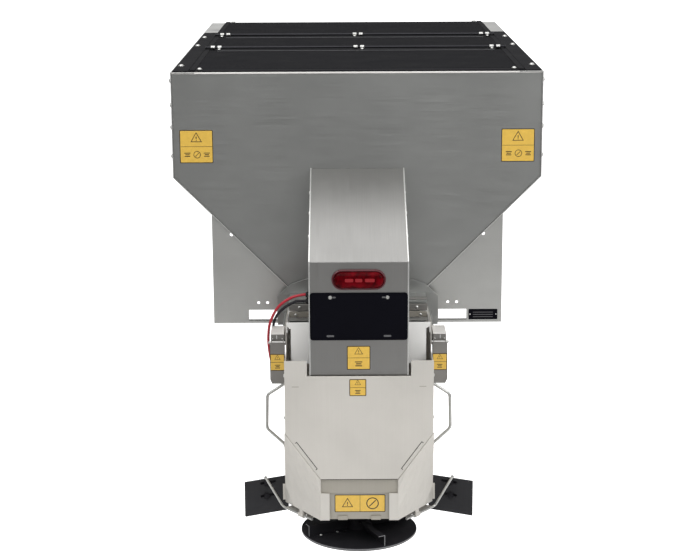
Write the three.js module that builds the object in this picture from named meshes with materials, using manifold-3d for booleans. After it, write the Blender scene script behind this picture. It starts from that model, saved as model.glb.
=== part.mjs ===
// Salt and sand spreader for a pick-up truck bed: a stainless V hopper with an auger along its
// floor, a drive housing behind it, and a tilting chute that drops the material onto a spinner.
// Millimetres. +X is to the right seen from behind, +Y points to the cab, +Z is up.
// The origin is in the middle of the base frame's underside. "Depth" is the distance behind the
// hopper's rear wall, so a depth of d lies at Y = REAR - d.

import * as THREE from 'three';
import { mergeVertices } from 'three/addons/utils/BufferGeometryUtils.js';
import Module from 'manifold-3d';

const wasm = await Module();
wasm.setup();

// ---------------------------------------------------------------- driving dimensions

const SHEET = 3;                       // sheet steel
const GAP = 0.4;                       // left between pieces that touch
const HOPPER_LENGTH = 1830;
const HALF_WIDTH = 610;
const TOP = 853;                       // rim of the hopper above the truck bed
const REAR = -HOPPER_LENGTH / 2;
const FRONT = HOPPER_LENGTH / 2;
const LIP = 5;                         // the side sheets stand this far past the end walls
const BEND = 505;                      // height where the wall turns into the 45 degree slope
const SLOPE = HALF_WIDTH - BEND;       // X - Z on the outer face of the slope
const SLOPE_FOOT = 45;                 // lowest edge of the sloping sheet
const FLANGE_EDGE = 531;               // inner edge of the side sheets' top flange

const AUGER_HEIGHT = 106;
const AUGER_RADIUS = 85;
const AUGER_PITCH = 150;
const AUGER_SHAFT_RADIUS = 24;
const AUGER_END = 165;                 // depth where the flight ends
const TROUGH_FLOOR = 10;
const TROUGH_RIM = 70;
const VEE_HALF = 150;
const VEE_FOOT = 235;
const VEE_TOP = 385;

const COVER_BOTTOM = TOP + GAP;
const COVER_TOP = COVER_BOTTOM + 4;
const LID_HALF_WIDTH = 550;
const LID_ROD_HEIGHT = 867;
const LID_ROD_RADIUS = 4;
const REAR_HINGE = -254;               // Y of the rear lid's hinge rod
const FRONT_HINGE = 238;               // Y of the front lid's hinge rod
const LID_HINGE_PLACES = [-519, 0, 519];

const RAIL_INNER = 215;
const RAIL_OUTER = 265;
const RAIL_HEIGHT = 50;
const GUSSET_OUTER = 487;
const GUSSET_INNER = 190;              // over the rail, where the plate runs in to the trough

const HOUSING_DEPTH = 450;
const HOUSING_HALF = 155;
const HOUSING_TOP = 534;               // height of the slope at the hopper wall
const HOUSING_BROW = 319;              // height of the slope at the rear face
const HOUSING_FOOT = -45;
const LAMP_HEIGHT = 263;
const PLATE_WIDTH = 304.8;
const PLATE_HEIGHT = 152.4;
const PLATE_BOTTOM = 69;
const GEARBOX_DEPTH = 191;

const PIVOT_DEPTH = 156;               // hinge line of the tilting chute
const PIVOT_HEIGHT = 85;
const PIVOT_PIN_RADIUS = 6;

const CHUTE_HALF = 234;
const CHUTE_TOP = -8;
const CHUTE_BEND = -233;               // where the side sheets start to run back
const CHUTE_BOTTOM = -527;
const CHUTE_FRONT = 455;               // depth of the chute's rear-facing panel
const SIDE_FOOT_DEPTH = 282;           // depth of the side sheets' lower rear corner
const NOTCH_HALF = 163;
const PANEL_FOOT_HALF = 122;
const PANEL_FOOT = -388;

const LATCH_DEPTH = 290;
const LATCH_HEIGHT = 18;

const SPINNER_DEPTH = 278;
const SPINNER_RADIUS = 190;
const SPINNER_TOP = -620;
const MOTOR_PLATE = -526;              // underside of the plate that carries the spinner motor

const DEFLECTOR_HEIGHT = -545;
const TOE_ANGLE = THREE.MathUtils.degToRad(25);
const SIDE_PLATE_LENGTH = 158;

// ---------------------------------------------------------------- finishes

const STAINLESS = { color: 0xb4b5b2, roughness: 0.38, metalness: 1.0 };
const BRIGHT_STEEL = { color: 0xd2d2cf, roughness: 0.25, metalness: 1.0 };
const CHUTE_STEEL = { color: 0xd0cec8, roughness: 0.42, metalness: 1.0 };
const CAST_IRON = { color: 0x3a3c3e, roughness: 0.6, metalness: 0.6 };
const BLACK_POLY = { color: 0x17181a, roughness: 0.5, metalness: 0.0 };
const BLACK_PLATE = { color: 0x0e0f12, roughness: 0.35, metalness: 0.1 };
const BLACK_RUBBER = { color: 0x101010, roughness: 0.8, metalness: 0.0 };
const RED_LENS = { color: 0xa00c12, roughness: 0.15, metalness: 0.0 };
const RED_CABLE = { color: 0xb0141c, roughness: 0.45, metalness: 0.0 };

// ---------------------------------------------------------------- shape helpers

const behind = (depth) => REAR - depth;

function toSolid(geometry) {
  const plain = geometry.clone();
  plain.deleteAttribute('normal');
  plain.deleteAttribute('uv');
  const merged = mergeVertices(plain, 1e-3);
  return new wasm.Manifold(new wasm.Mesh({
    numProp: 3,
    vertProperties: new Float32Array(merged.attributes.position.array),
    triVerts: new Uint32Array(merged.index.array),
  }));
}

function toGeometry(solid) {
  const mesh = solid.getMesh();
  const geometry = new THREE.BufferGeometry();
  geometry.setAttribute('position', new THREE.BufferAttribute(mesh.vertProperties, 3));
  geometry.setIndex(new THREE.BufferAttribute(mesh.triVerts, 1));
  return geometry;
}

function join(...pieces) {
  return toGeometry(pieces.map(toSolid).reduce((whole, piece) => whole.add(piece)));
}

function cut(body, ...tools) {
  return toGeometry(tools.map(toSolid).reduce((rest, tool) => rest.subtract(tool), toSolid(body)));
}

// The same piece on the other side of the X = 0 plane.
function mirrored(geometry) {
  const copy = toGeometry(toSolid(geometry));
  const index = copy.index.array;
  copy.scale(-1, 1, 1);
  for (let corner = 0; corner < index.length; corner += 3) {
    [index[corner], index[corner + 1]] = [index[corner + 1], index[corner]];
  }
  return copy;
}

function box(x0, x1, y0, y1, z0, z1) {
  const geometry = new THREE.BoxGeometry(x1 - x0, y1 - y0, z1 - z0);
  return geometry.translate((x0 + x1) / 2, (y0 + y1) / 2, (z0 + z1) / 2);
}

// A box given by its X range, its range of depths and its Z range.
function boxBehind(x0, x1, depth0, depth1, z0, z1) {
  return box(x0, x1, behind(depth1), behind(depth0), z0, z1);
}

function shapeOf(outline) {
  return new THREE.Shape(outline.map(([u, v]) => new THREE.Vector2(u, v)));
}

function extruded(shape, length, uAxis, vAxis, curveSegments = 8) {
  const geometry = new THREE.ExtrudeGeometry(shape, {
    depth: length, bevelEnabled: false, curveSegments,
  });
  const along = new THREE.Vector3().crossVectors(uAxis, vAxis);
  return geometry.applyMatrix4(new THREE.Matrix4().makeBasis(uAxis, vAxis, along));
}

const X_AXIS = new THREE.Vector3(1, 0, 0);
const Y_AXIS = new THREE.Vector3(0, 1, 0);
const Z_AXIS = new THREE.Vector3(0, 0, 1);

// An (x, z) shape carried along Y from y0 to y1.
function shapeAlongY(shape, y0, y1) {
  return extruded(shape, y1 - y0, X_AXIS, Z_AXIS).translate(0, y1, 0);
}

// An (x, z) outline between two depths.
function prismBehind(outline, depth0, depth1) {
  return shapeAlongY(shapeOf(outline), behind(depth1), behind(depth0));
}

// A (depth, z) outline carried along X from x0 to x1.
function prismAlongX(outline, x0, x1) {
  const points = outline.map(([depth, z]) => [behind(depth), z]);
  return extruded(shapeOf(points), x1 - x0, Y_AXIS, Z_AXIS).translate(x0, 0, 0);
}

// An (x, depth) outline carried up from z0 to z1.
function prismUp(outline, z0, z1) {
  const points = outline.map(([x, depth]) => [x, behind(depth)]);
  return extruded(shapeOf(points), z1 - z0, X_AXIS, Y_AXIS).translate(0, 0, z0);
}

// The outline's right half, listed from top to bottom, closed by its mirror image.
function symmetric(rightHalf) {
  return [...rightHalf, ...rightHalf.map(([x, z]) => [-x, z]).reverse()];
}

function cylinder(start, end, radius, sides = 24) {
  const axis = new THREE.Vector3().subVectors(end, start);
  const geometry = new THREE.CylinderGeometry(radius, radius, axis.length(), sides);
  const turn = new THREE.Quaternion().setFromUnitVectors(Y_AXIS, axis.clone().normalize());
  const middle = new THREE.Vector3().addVectors(start, end).multiplyScalar(0.5);
  return geometry.applyQuaternion(turn).translate(middle.x, middle.y, middle.z);
}

function cylinderAlongX(x0, x1, y, z, radius, sides) {
  return cylinder(new THREE.Vector3(x0, y, z), new THREE.Vector3(x1, y, z), radius, sides);
}

function cylinderAlongY(y0, y1, x, z, radius, sides) {
  return cylinder(new THREE.Vector3(x, y0, z), new THREE.Vector3(x, y1, z), radius, sides);
}

function cylinderUp(x, y, z0, z1, radius, sides) {
  return cylinder(new THREE.Vector3(x, y, z0), new THREE.Vector3(x, y, z1), radius, sides);
}

// Closed outline of a folded sheet: the given line and its copy set off to the left.
function folded(line, thickness) {
  const points = line.map(([u, v]) => new THREE.Vector2(u, v));
  const normals = points.slice(1).map((point, k) => {
    const run = new THREE.Vector2().subVectors(point, points[k]).normalize();
    return new THREE.Vector2(-run.y, run.x);
  });
  const inner = points.map((point, k) => {
    const before = normals[Math.max(k - 1, 0)];
    const after = normals[Math.min(k, normals.length - 1)];
    const mitre = new THREE.Vector2().addVectors(before, after).normalize();
    return point.clone().addScaledVector(mitre, thickness / mitre.dot(before));
  });
  return [...points, ...inner.reverse()].map((point) => [point.x, point.y]);
}

function stadium(width, height, centreHeight) {
  const radius = height / 2;
  const reach = width / 2 - radius;
  const shape = new THREE.Shape();
  shape.absarc(reach, centreHeight, radius, -Math.PI / 2, Math.PI / 2);
  shape.absarc(-reach, centreHeight, radius, Math.PI / 2, 1.5 * Math.PI);
  shape.closePath();
  return shape;
}

function roundedRectangle(x0, x1, z0, z1, radius) {
  const shape = new THREE.Shape();
  shape.absarc(x1 - radius, z1 - radius, radius, 0, Math.PI / 2);
  shape.absarc(x0 + radius, z1 - radius, radius, Math.PI / 2, Math.PI);
  shape.absarc(x0 + radius, z0 + radius, radius, Math.PI, 1.5 * Math.PI);
  shape.absarc(x1 - radius, z0 + radius, radius, 1.5 * Math.PI, 2 * Math.PI);
  shape.closePath();
  return shape;
}

// A round bar bent along straight runs, with its corners eased by the bend length.
function bentRod(points, radius, bend, steps, sides = 10) {
  const path = new THREE.CurvePath();
  let last = points[0];
  for (let k = 1; k < points.length - 1; k += 1) {
    const corner = points[k];
    const towards = new THREE.Vector3().subVectors(points[k - 1], corner).setLength(bend).add(corner);
    const away = new THREE.Vector3().subVectors(points[k + 1], corner).setLength(bend).add(corner);
    path.add(new THREE.LineCurve3(last, towards));
    path.add(new THREE.QuadraticBezierCurve3(towards, corner, away));
    last = away;
  }
  path.add(new THREE.LineCurve3(last, points[points.length - 1]));
  return tubeAlong(path, radius, steps, sides);
}

function tubeAlong(path, radius, steps, sides) {
  const section = new THREE.Shape();
  for (let side = 0; side < sides; side += 1) {
    const angle = (2 * Math.PI * side) / sides;
    const corner = [radius * Math.cos(angle), radius * Math.sin(angle)];
    if (side === 0) section.moveTo(...corner);
    else section.lineTo(...corner);
  }
  section.closePath();
  return new THREE.ExtrudeGeometry(section, { steps, bevelEnabled: false, extrudePath: path });
}

// A thick sheet stretched over four corners, which may be twisted. Corners run round the edge,
// and the thickness grows to the side that they turn anticlockwise on.
function twistedSheet([a, b, c, d], thickness, divisions) {
  const normal = new THREE.Vector3().crossVectors(
    new THREE.Vector3().subVectors(c, a), new THREE.Vector3().subVectors(d, b),
  ).normalize();
  const rowLength = divisions + 1;
  const layer = rowLength * rowLength;
  const positions = [];
  for (const offset of [0, thickness]) {
    for (let row = 0; row <= divisions; row += 1) {
      for (let column = 0; column <= divisions; column += 1) {
        const near = new THREE.Vector3().lerpVectors(a, b, column / divisions);
        const far = new THREE.Vector3().lerpVectors(d, c, column / divisions);
        const point = near.lerp(far, row / divisions).addScaledVector(normal, offset);
        positions.push(point.x, point.y, point.z);
      }
    }
  }
  const faces = [];
  const quad = (p, q, r, s) => faces.push(p, q, r, p, r, s);
  for (let row = 0; row < divisions; row += 1) {
    for (let column = 0; column < divisions; column += 1) {
      const p = row * rowLength + column;
      quad(p, p + rowLength, p + rowLength + 1, p + 1);
      quad(p + layer, p + 1 + layer, p + rowLength + 1 + layer, p + rowLength + layer);
    }
  }
  for (let k = 0; k < divisions; k += 1) {
    const left = k * rowLength;
    const right = left + divisions;
    const top = divisions * rowLength + k;
    quad(k, k + 1, k + 1 + layer, k + layer);
    quad(top + 1, top, top + layer, top + 1 + layer);
    quad(left + rowLength, left, left + layer, left + rowLength + layer);
    quad(right, right + rowLength, right + rowLength + layer, right + layer);
  }
  const geometry = new THREE.BufferGeometry();
  geometry.setAttribute('position', new THREE.Float32BufferAttribute(positions, 3));
  geometry.setIndex(faces);
  return geometry;
}

// ---------------------------------------------------------------- the assembly

const group = new THREE.Group();

function addPart(parent, name, geometry, finish) {
  const mesh = new THREE.Mesh(geometry, new THREE.MeshStandardMaterial(finish));
  mesh.name = name;
  parent.add(mesh);
  return mesh;
}

// A right-hand piece and its mirror image on the left.
function addPair(parent, name, geometry, finish) {
  addPart(parent, `${name}_right`, geometry, finish);
  addPart(parent, `${name}_left`, mirrored(geometry), finish);
}

function addGroup(parent = group) {
  const inner = new THREE.Group();
  parent.add(inner);
  return inner;
}

// ---------------------------------------------------------------- hopper

const FLANGE_UNDER = TOP - SHEET;
const FLANGE_DEPTH = 40;
const WALL_EDGE = HALF_WIDTH - SHEET - GAP;
const WALL_SLOPE = SLOPE - (SHEET + GAP) * Math.SQRT2;      // X - Z along the end walls' edges
const REAR_WALL_FOOT = 120;
const DISCHARGE_RADIUS = 97;

function hopperSide() {
  const line = [
    [SLOPE + SLOPE_FOOT, SLOPE_FOOT],
    [HALF_WIDTH, BEND],
    [HALF_WIDTH, TOP],
    [FLANGE_EDGE + GAP, TOP],
  ];
  return shapeAlongY(shapeOf(folded(line, SHEET)), REAR - LIP, FRONT + LIP);
}

function endWallOutline(foot) {
  return symmetric([
    [FLANGE_EDGE, TOP],
    [FLANGE_EDGE, FLANGE_UNDER - GAP],
    [WALL_EDGE, FLANGE_UNDER - GAP],
    [WALL_EDGE, WALL_EDGE - WALL_SLOPE],
    [foot + WALL_SLOPE, foot],
  ]);
}

function hopperRearWall() {
  const plate = shapeAlongY(shapeOf(endWallOutline(REAR_WALL_FOOT)), REAR, REAR + SHEET);
  const flange = box(-FLANGE_EDGE, FLANGE_EDGE, REAR, REAR + FLANGE_DEPTH, FLANGE_UNDER, TOP);
  const arch = cylinderAlongY(REAR - 1, REAR + SHEET + 1, 0, AUGER_HEIGHT, DISCHARGE_RADIUS, 48);
  return cut(join(plate, flange), arch);
}

function hopperFrontWall() {
  const foot = TROUGH_FLOOR + SHEET + 1;
  const plate = shapeAlongY(shapeOf(endWallOutline(foot)), FRONT - SHEET, FRONT);
  const flange = box(-FLANGE_EDGE, FLANGE_EDGE, FRONT - FLANGE_DEPTH, FRONT, FLANGE_UNDER, TOP);
  const bore = cylinderAlongY(FRONT - SHEET - 1, FRONT + 1, 0, AUGER_HEIGHT, AUGER_SHAFT_RADIUS + 3);
  return cut(join(plate, flange), bore);
}

function augerTrough() {
  const shift = SHEET + GAP;
  const edge = SLOPE + shift * Math.SQRT2;                  // X - Z on the trough's outer face
  const line = [
    [-(edge + TROUGH_RIM), TROUGH_RIM],
    [-(edge + TROUGH_FLOOR), TROUGH_FLOOR],
    [edge + TROUGH_FLOOR, TROUGH_FLOOR],
    [edge + TROUGH_RIM, TROUGH_RIM],
  ];
  return shapeAlongY(shapeOf(folded(line, SHEET)), REAR - LIP, FRONT + LIP);
}

// The roof over the auger that keeps the load off it.
function invertedVee() {
  const line = [[VEE_HALF, VEE_FOOT], [0, VEE_TOP], [-VEE_HALF, VEE_FOOT]];
  const end = SHEET + GAP;
  return shapeAlongY(shapeOf(folded(line, SHEET)), REAR + end, FRONT - end);
}

const BRACE_TOP = 815;
const BRACE_SIZE = 40;

function crossBrace() {
  const reach = HALF_WIDTH - SHEET - 0.5;
  const half = BRACE_SIZE / 2;
  const inner = half - SHEET;
  const middle = BRACE_TOP - half;
  const bar = box(-reach, reach, -half, half, middle - half, middle + half);
  const bore = box(-reach - 1, reach + 1, -inner, inner, middle - inner, middle + inner);
  return cut(bar, bore);
}

// A flat top screen: an edge frame and crossing bars.
function topScreen(y0, y1) {
  const bar = 8;
  const half = 600;
  const spaces = 2;
  const stepX = (2 * half - bar) / spaces;
  const stepY = (y1 - y0 - bar) / spaces;
  const z0 = BRACE_TOP + 0.5;
  const z1 = z0 + 6;
  const bars = [];
  for (let k = 0; k <= spaces; k += 1) {
    const x = -half + k * stepX;
    const y = y0 + k * stepY;
    bars.push(box(x, x + bar, y0, y1, z0, z1));
    bars.push(box(-half, half, y, y + bar, z0, z1));
  }
  return join(...bars);
}

const hopper = addGroup();
addPair(hopper, 'hopper_side', hopperSide(), STAINLESS);
addPart(hopper, 'hopper_rear_wall', hopperRearWall(), STAINLESS);
addPart(hopper, 'hopper_front_wall', hopperFrontWall(), STAINLESS);
addPart(hopper, 'auger_trough', augerTrough(), STAINLESS);
addPart(hopper, 'inverted_vee', invertedVee(), STAINLESS);
addPart(hopper, 'hopper_cross_brace', crossBrace(), STAINLESS);
addPart(hopper, 'screen_rear', topScreen(REAR + 5, -2), BRIGHT_STEEL);
addPart(hopper, 'screen_front', topScreen(2, FRONT - 5), BRIGHT_STEEL);

// ---------------------------------------------------------------- base frame

function frameRail() {
  const rail = box(RAIL_INNER, RAIL_OUTER, REAR - LIP, FRONT + LIP, 0, RAIL_HEIGHT);
  const hollow = box(
    RAIL_INNER + SHEET, RAIL_OUTER - SHEET, REAR - LIP - 1, FRONT + LIP + 1, SHEET, RAIL_HEIGHT - SHEET,
  );
  return cut(rail, hollow);
}

const GUSSET_FOLD = 40;
const STRAP_WINDOW = { x0: 273, x1: 368, z0: 8, z1: 46 };
const GUSSET_HOLES = [[305, 71, 5], [335, 71, 5], [422, 307, 6]];      // x, z, radius

// Upright plate under the slope, with a folded foot, a folded outer edge, a strap window and
// bolt holes. y0 is its outer face, and inward is +1 at the rear and -1 at the front.
function gusset(y0, inward) {
  const inner = RAIL_OUTER + GAP;
  const slope = SLOPE + 1;
  const range = (from, to) => [y0 + inward * from, y0 + inward * to].sort((p, q) => p - q);
  const [plateStart, plateEnd] = range(0, SHEET);
  const [foldStart, foldEnd] = range(0, GUSSET_FOLD);
  const [toolStart, toolEnd] = range(-1, SHEET + 1);
  const outline = [
    [inner, 0], [GUSSET_OUTER, 0], [GUSSET_OUTER, GUSSET_OUTER - slope],
    [GUSSET_INNER, GUSSET_INNER - slope], [GUSSET_INNER, RAIL_HEIGHT + GAP], [inner, RAIL_HEIGHT + GAP],
  ];
  const edgeTop = GUSSET_OUTER - SHEET - slope - 1;
  const body = join(
    shapeAlongY(shapeOf(outline), plateStart, plateEnd),
    box(inner, GUSSET_OUTER, foldStart, foldEnd, 0, SHEET),
    box(GUSSET_OUTER - SHEET, GUSSET_OUTER, foldStart, foldEnd, 0, edgeTop),
  );
  const holes = GUSSET_HOLES.map(
    ([x, z, radius]) => cylinderAlongY(toolStart, toolEnd, x, z, radius, 12),
  );
  const { x0, x1, z0, z1 } = STRAP_WINDOW;
  return cut(body, box(x0, x1, toolStart, toolEnd, z0, z1), ...holes);
}

const frame = addGroup();
addPair(frame, 'frame_rail', frameRail(), STAINLESS);
addPair(frame, 'rear_gusset', gusset(REAR + 20, 1), STAINLESS);
addPair(frame, 'front_gusset', gusset(FRONT - 20, -1), STAINLESS);
addPart(
  frame, 'bed_cross_member',
  box(-RAIL_INNER + GAP, RAIL_INNER - GAP, -40, 40, 0, TROUGH_FLOOR - 2), STAINLESS,
);

// ---------------------------------------------------------------- top covers

const KNUCKLE_RADIUS = 8;
const KNUCKLE_BORE = LID_ROD_RADIUS + 0.35;

// A hinge knuckle round the rod with a web and a foot that reaches over the cover.
// side is -1 when the cover lies behind the rod and +1 when it lies in front of it.
function lidKnuckle(x0, x1, rodY, side) {
  const range = (from, to) => [rodY + side * from, rodY + side * to].sort((p, q) => p - q);
  return [
    cylinderAlongX(x0, x1, rodY, LID_ROD_HEIGHT, KNUCKLE_RADIUS, 12),
    box(x0, x1, ...range(1.5, KNUCKLE_RADIUS - 0.5), COVER_TOP - 1, LID_ROD_HEIGHT),
    box(x0, x1, ...range(1.5, 34), COVER_TOP - 1, COVER_TOP + 2),
  ];
}

// Centres of the knuckles that ride on a lid, each beside its fixed one.
const lidKnuckleCentre = (place) => (place > 0 ? place - 24 : place + 24);

function rodBore(rodY) {
  const reach = LID_HALF_WIDTH + 20;
  return cylinderAlongX(-reach, reach, rodY, LID_ROD_HEIGHT, KNUCKLE_BORE, 12);
}

function lid(y0, y1, rodY, side) {
  const pieces = [box(-LID_HALF_WIDTH, LID_HALF_WIDTH, y0, y1, COVER_BOTTOM, COVER_TOP)];
  for (const place of LID_HINGE_PLACES) {
    const centre = lidKnuckleCentre(place);
    pieces.push(...lidKnuckle(centre - 10, centre + 10, rodY, side));
  }
  return cut(join(...pieces), rodBore(rodY));
}

function centreCover() {
  const y0 = REAR_HINGE + 1;
  const y1 = FRONT_HINGE - 1;
  const pieces = [box(-LID_HALF_WIDTH, LID_HALF_WIDTH, y0, y1, COVER_BOTTOM, COVER_TOP)];
  for (const place of LID_HINGE_PLACES) {
    pieces.push(...lidKnuckle(place - 12, place + 12, REAR_HINGE, 1));
    pieces.push(...lidKnuckle(place - 12, place + 12, FRONT_HINGE, -1));
  }
  return cut(join(...pieces), rodBore(REAR_HINGE), rodBore(FRONT_HINGE));
}

function hingeRod(rodY) {
  return cylinderAlongX(-545, 545, rodY, LID_ROD_HEIGHT, LID_ROD_RADIUS, 12);
}

const STRIP_INNER = LID_HALF_WIDTH + 2;
const STRIP_OUTER = HALF_WIDTH - 6;
const covers = addGroup();
addPart(covers, 'centre_cover', centreCover(), BLACK_POLY);
addPart(covers, 'rear_lid', lid(REAR + 2, REAR_HINGE - 1, REAR_HINGE, -1), BLACK_POLY);
addPart(covers, 'front_lid', lid(FRONT_HINGE + 1, FRONT - 10, FRONT_HINGE, 1), BLACK_POLY);
addPart(covers, 'rear_lid_hinge_rod', hingeRod(REAR_HINGE), BRIGHT_STEEL);
addPart(covers, 'front_lid_hinge_rod', hingeRod(FRONT_HINGE), BRIGHT_STEEL);
addPair(
  covers, 'cover_strip',
  box(STRIP_INNER, STRIP_OUTER, REAR + 2, 435, COVER_BOTTOM, COVER_TOP), BLACK_POLY,
);

// ---------------------------------------------------------------- auger and its drive

const AUGER_FRONT = FRONT - 12;
const SHAFT_FRONT = FRONT + 40;
const SHAFT_REAR_DEPTH = 280;
const SHAFT_BORE = AUGER_SHAFT_RADIUS + 0.5;
const GEARBOX_HALF = 65;
const GEARBOX_LENGTH = 100;
const MOTOR_DEPTH = 241;
const MOTOR_RADIUS = 48;
const AUGER_MOTOR_TOP = 330;

function augerShaft() {
  return cylinderAlongY(behind(SHAFT_REAR_DEPTH), SHAFT_FRONT, 0, 0, AUGER_SHAFT_RADIUS, 24);
}

// A helical ribbon round the Y axis, from y0 to y1.
function augerFlight(y0, y1) {
  const stepsPerTurn = 12;
  const thickness = 5;
  const inner = (AUGER_SHAFT_RADIUS + GAP) / Math.cos(Math.PI / stepsPerTurn);
  const steps = Math.floor(((y1 - y0 - thickness) / AUGER_PITCH) * stepsPerTurn);
  const section = [[inner, 0], [AUGER_RADIUS, 0], [AUGER_RADIUS, thickness], [inner, thickness]];
  const positions = [];
  const faces = [];
  const quad = (p, q, r, s) => faces.push(p, q, r, p, r, s);
  for (let step = 0; step <= steps; step += 1) {
    const angle = (2 * Math.PI * step) / stepsPerTurn;
    const y = y0 + (AUGER_PITCH * step) / stepsPerTurn;
    for (const [radius, lift] of section) {
      positions.push(radius * Math.cos(angle), y + lift, radius * Math.sin(angle));
    }
  }
  for (let step = 0; step < steps; step += 1) {
    const here = step * 4;
    for (let side = 0; side < 4; side += 1) {
      const next = (side + 1) % 4;
      quad(here + side, here + next, here + next + 4, here + side + 4);
    }
  }
  const last = steps * 4;
  quad(0, 3, 2, 1);
  quad(last, last + 1, last + 2, last + 3);
  const geometry = new THREE.BufferGeometry();
  geometry.setAttribute('position', new THREE.Float32BufferAttribute(positions, 3));
  geometry.setIndex(faces);
  return geometry;
}

function augerGearbox() {
  const half = GEARBOX_HALF;
  const body = boxBehind(
    -half, half, GEARBOX_DEPTH, GEARBOX_DEPTH + GEARBOX_LENGTH, AUGER_HEIGHT - half, AUGER_HEIGHT + half,
  );
  const bore = cylinderAlongY(
    behind(SHAFT_REAR_DEPTH + 4), behind(GEARBOX_DEPTH - 1), 0, AUGER_HEIGHT, SHAFT_BORE,
  );
  return cut(body, bore);
}

function gearboxPlate() {
  const half = HOUSING_HALF - SHEET - GAP;
  const plate = boxBehind(-half, half, GEARBOX_DEPTH - 5, GEARBOX_DEPTH - 1, -4, 320);
  const bore = cylinderAlongY(behind(GEARBOX_DEPTH), behind(GEARBOX_DEPTH - 6), 0, AUGER_HEIGHT, 30);
  return cut(plate, bore);
}

function frontBearing() {
  const half = 55;
  const flange = 12;
  const hubRadius = 38;
  const hubEnd = FRONT + 34;
  const y0 = FRONT + GAP;
  const plate = box(-half, half, y0, y0 + flange, AUGER_HEIGHT - half, AUGER_HEIGHT + half);
  const hub = cylinderAlongY(y0 + flange / 2, hubEnd, 0, AUGER_HEIGHT, hubRadius);
  const bore = cylinderAlongY(y0 - 1, hubEnd + 1, 0, AUGER_HEIGHT, SHAFT_BORE);
  return cut(join(plate, hub), bore);
}

const auger = addGroup();
auger.position.set(0, 0, AUGER_HEIGHT);
addPart(auger, 'auger_shaft', augerShaft(), BRIGHT_STEEL);
addPart(auger, 'auger_flight', augerFlight(behind(AUGER_END), AUGER_FRONT), BRIGHT_STEEL);

const drive = addGroup();
addPart(drive, 'auger_front_bearing', frontBearing(), CAST_IRON);
addPart(drive, 'gearbox_plate', gearboxPlate(), STAINLESS);
addPart(drive, 'auger_gearbox', augerGearbox(), CAST_IRON);
addPart(
  drive, 'auger_motor',
  cylinderUp(
    0, behind(MOTOR_DEPTH), AUGER_HEIGHT + GEARBOX_HALF + GAP, AUGER_MOTOR_TOP, MOTOR_RADIUS, 32,
  ), CAST_IRON,
);

// ---------------------------------------------------------------- discharge plate and housing

const DISCHARGE_FACE = 6;              // depth of the discharge plate's inner face
const BOSS_LENGTH = 12;
const CABLE_EXITS = [
  { name: 'power_cable_red', depth: 235, height: 162 },
  { name: 'power_cable_black', depth: 235, height: 141 },
];

function dischargePlate() {
  const outline = symmetric([[110, 225], [150, 168], [226, 142], [270, 100], [270, 1]]);
  const bore = cylinderAlongY(behind(12), behind(4), 0, AUGER_HEIGHT, DISCHARGE_RADIUS - 2, 48);
  return cut(prismBehind(outline, DISCHARGE_FACE, DISCHARGE_FACE + 4), bore);
}

function driveHousing() {
  const outer = [
    [1, HOUSING_TOP], [HOUSING_DEPTH, HOUSING_BROW], [HOUSING_DEPTH, HOUSING_FOOT],
    [HOUSING_DEPTH - 50, HOUSING_FOOT], [HOUSING_DEPTH - 50, -5], [12, -5], [12, 230], [1, 230],
  ];
  const run = (HOUSING_TOP - HOUSING_BROW) / (HOUSING_DEPTH - 1);
  const drop = SHEET * Math.hypot(1, run);
  const inner = [
    [-20, HOUSING_TOP + 21 * run - drop],
    [HOUSING_DEPTH - SHEET, HOUSING_BROW + SHEET * run - drop],
    [HOUSING_DEPTH - SHEET, HOUSING_FOOT - 15],
    [-20, HOUSING_FOOT - 15],
  ];
  const half = HOUSING_HALF - SHEET;
  const shell = cut(
    prismAlongX(outer, -HOUSING_HALF, HOUSING_HALF),
    prismAlongX(inner, -half, half),
  );
  const bosses = CABLE_EXITS.map(({ depth, height }) => cylinderAlongX(
    -HOUSING_HALF - BOSS_LENGTH, -HOUSING_HALF + 1, behind(depth), height, 9, 12,
  ));
  return join(shell, ...bosses);
}

const FACE = HOUSING_DEPTH + GAP;

function lampGrommet() {
  const ring = shapeAlongY(stadium(168, 64, LAMP_HEIGHT), behind(FACE + 6), behind(FACE));
  const hole = shapeAlongY(stadium(154.8, 50.8, LAMP_HEIGHT), behind(FACE + 7), behind(FACE - 1));
  return cut(ring, hole);
}

function lampLens() {
  return join(
    shapeAlongY(stadium(154, 50, LAMP_HEIGHT), behind(FACE + 11), behind(FACE)),
    shapeAlongY(stadium(142, 38, LAMP_HEIGHT), behind(FACE + 17), behind(FACE)),
  );
}

function numberPlate() {
  const half = PLATE_WIDTH / 2;
  const shape = roundedRectangle(-half, half, PLATE_BOTTOM, PLATE_BOTTOM + PLATE_HEIGHT, 10);
  return shapeAlongY(shape, behind(FACE + 2), behind(FACE + 0.5));
}

addPart(drive, 'discharge_plate', dischargePlate(), STAINLESS);
addPart(drive, 'drive_housing', driveHousing(), STAINLESS);
addPart(drive, 'tail_light_grommet', lampGrommet(), BLACK_RUBBER);
addPart(drive, 'tail_light_lens', lampLens(), RED_LENS);
addPart(drive, 'number_plate', numberPlate(), BLACK_PLATE);

// ---------------------------------------------------------------- chute hinges

const PLATE_FACE = DISCHARGE_FACE + 4 + GAP;
const BRACKET_INNER = 165;
const BRACKET_OUTER = 228;
const KEEPER_INNER = 240;
const KEEPER_OUTER = 246;
const FIXED_KNUCKLE = [170, 198];
const CHUTE_KNUCKLE = [202, 227.4];
const PIVOT_KNUCKLE_RADIUS = 10;
const PIVOT_Y = behind(PIVOT_DEPTH);

function pivotBore() {
  const radius = PIVOT_PIN_RADIUS + 0.4;
  return cylinderAlongX(BRACKET_INNER - 10, BRACKET_OUTER + 20, PIVOT_Y, PIVOT_HEIGHT, radius, 20);
}

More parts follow.
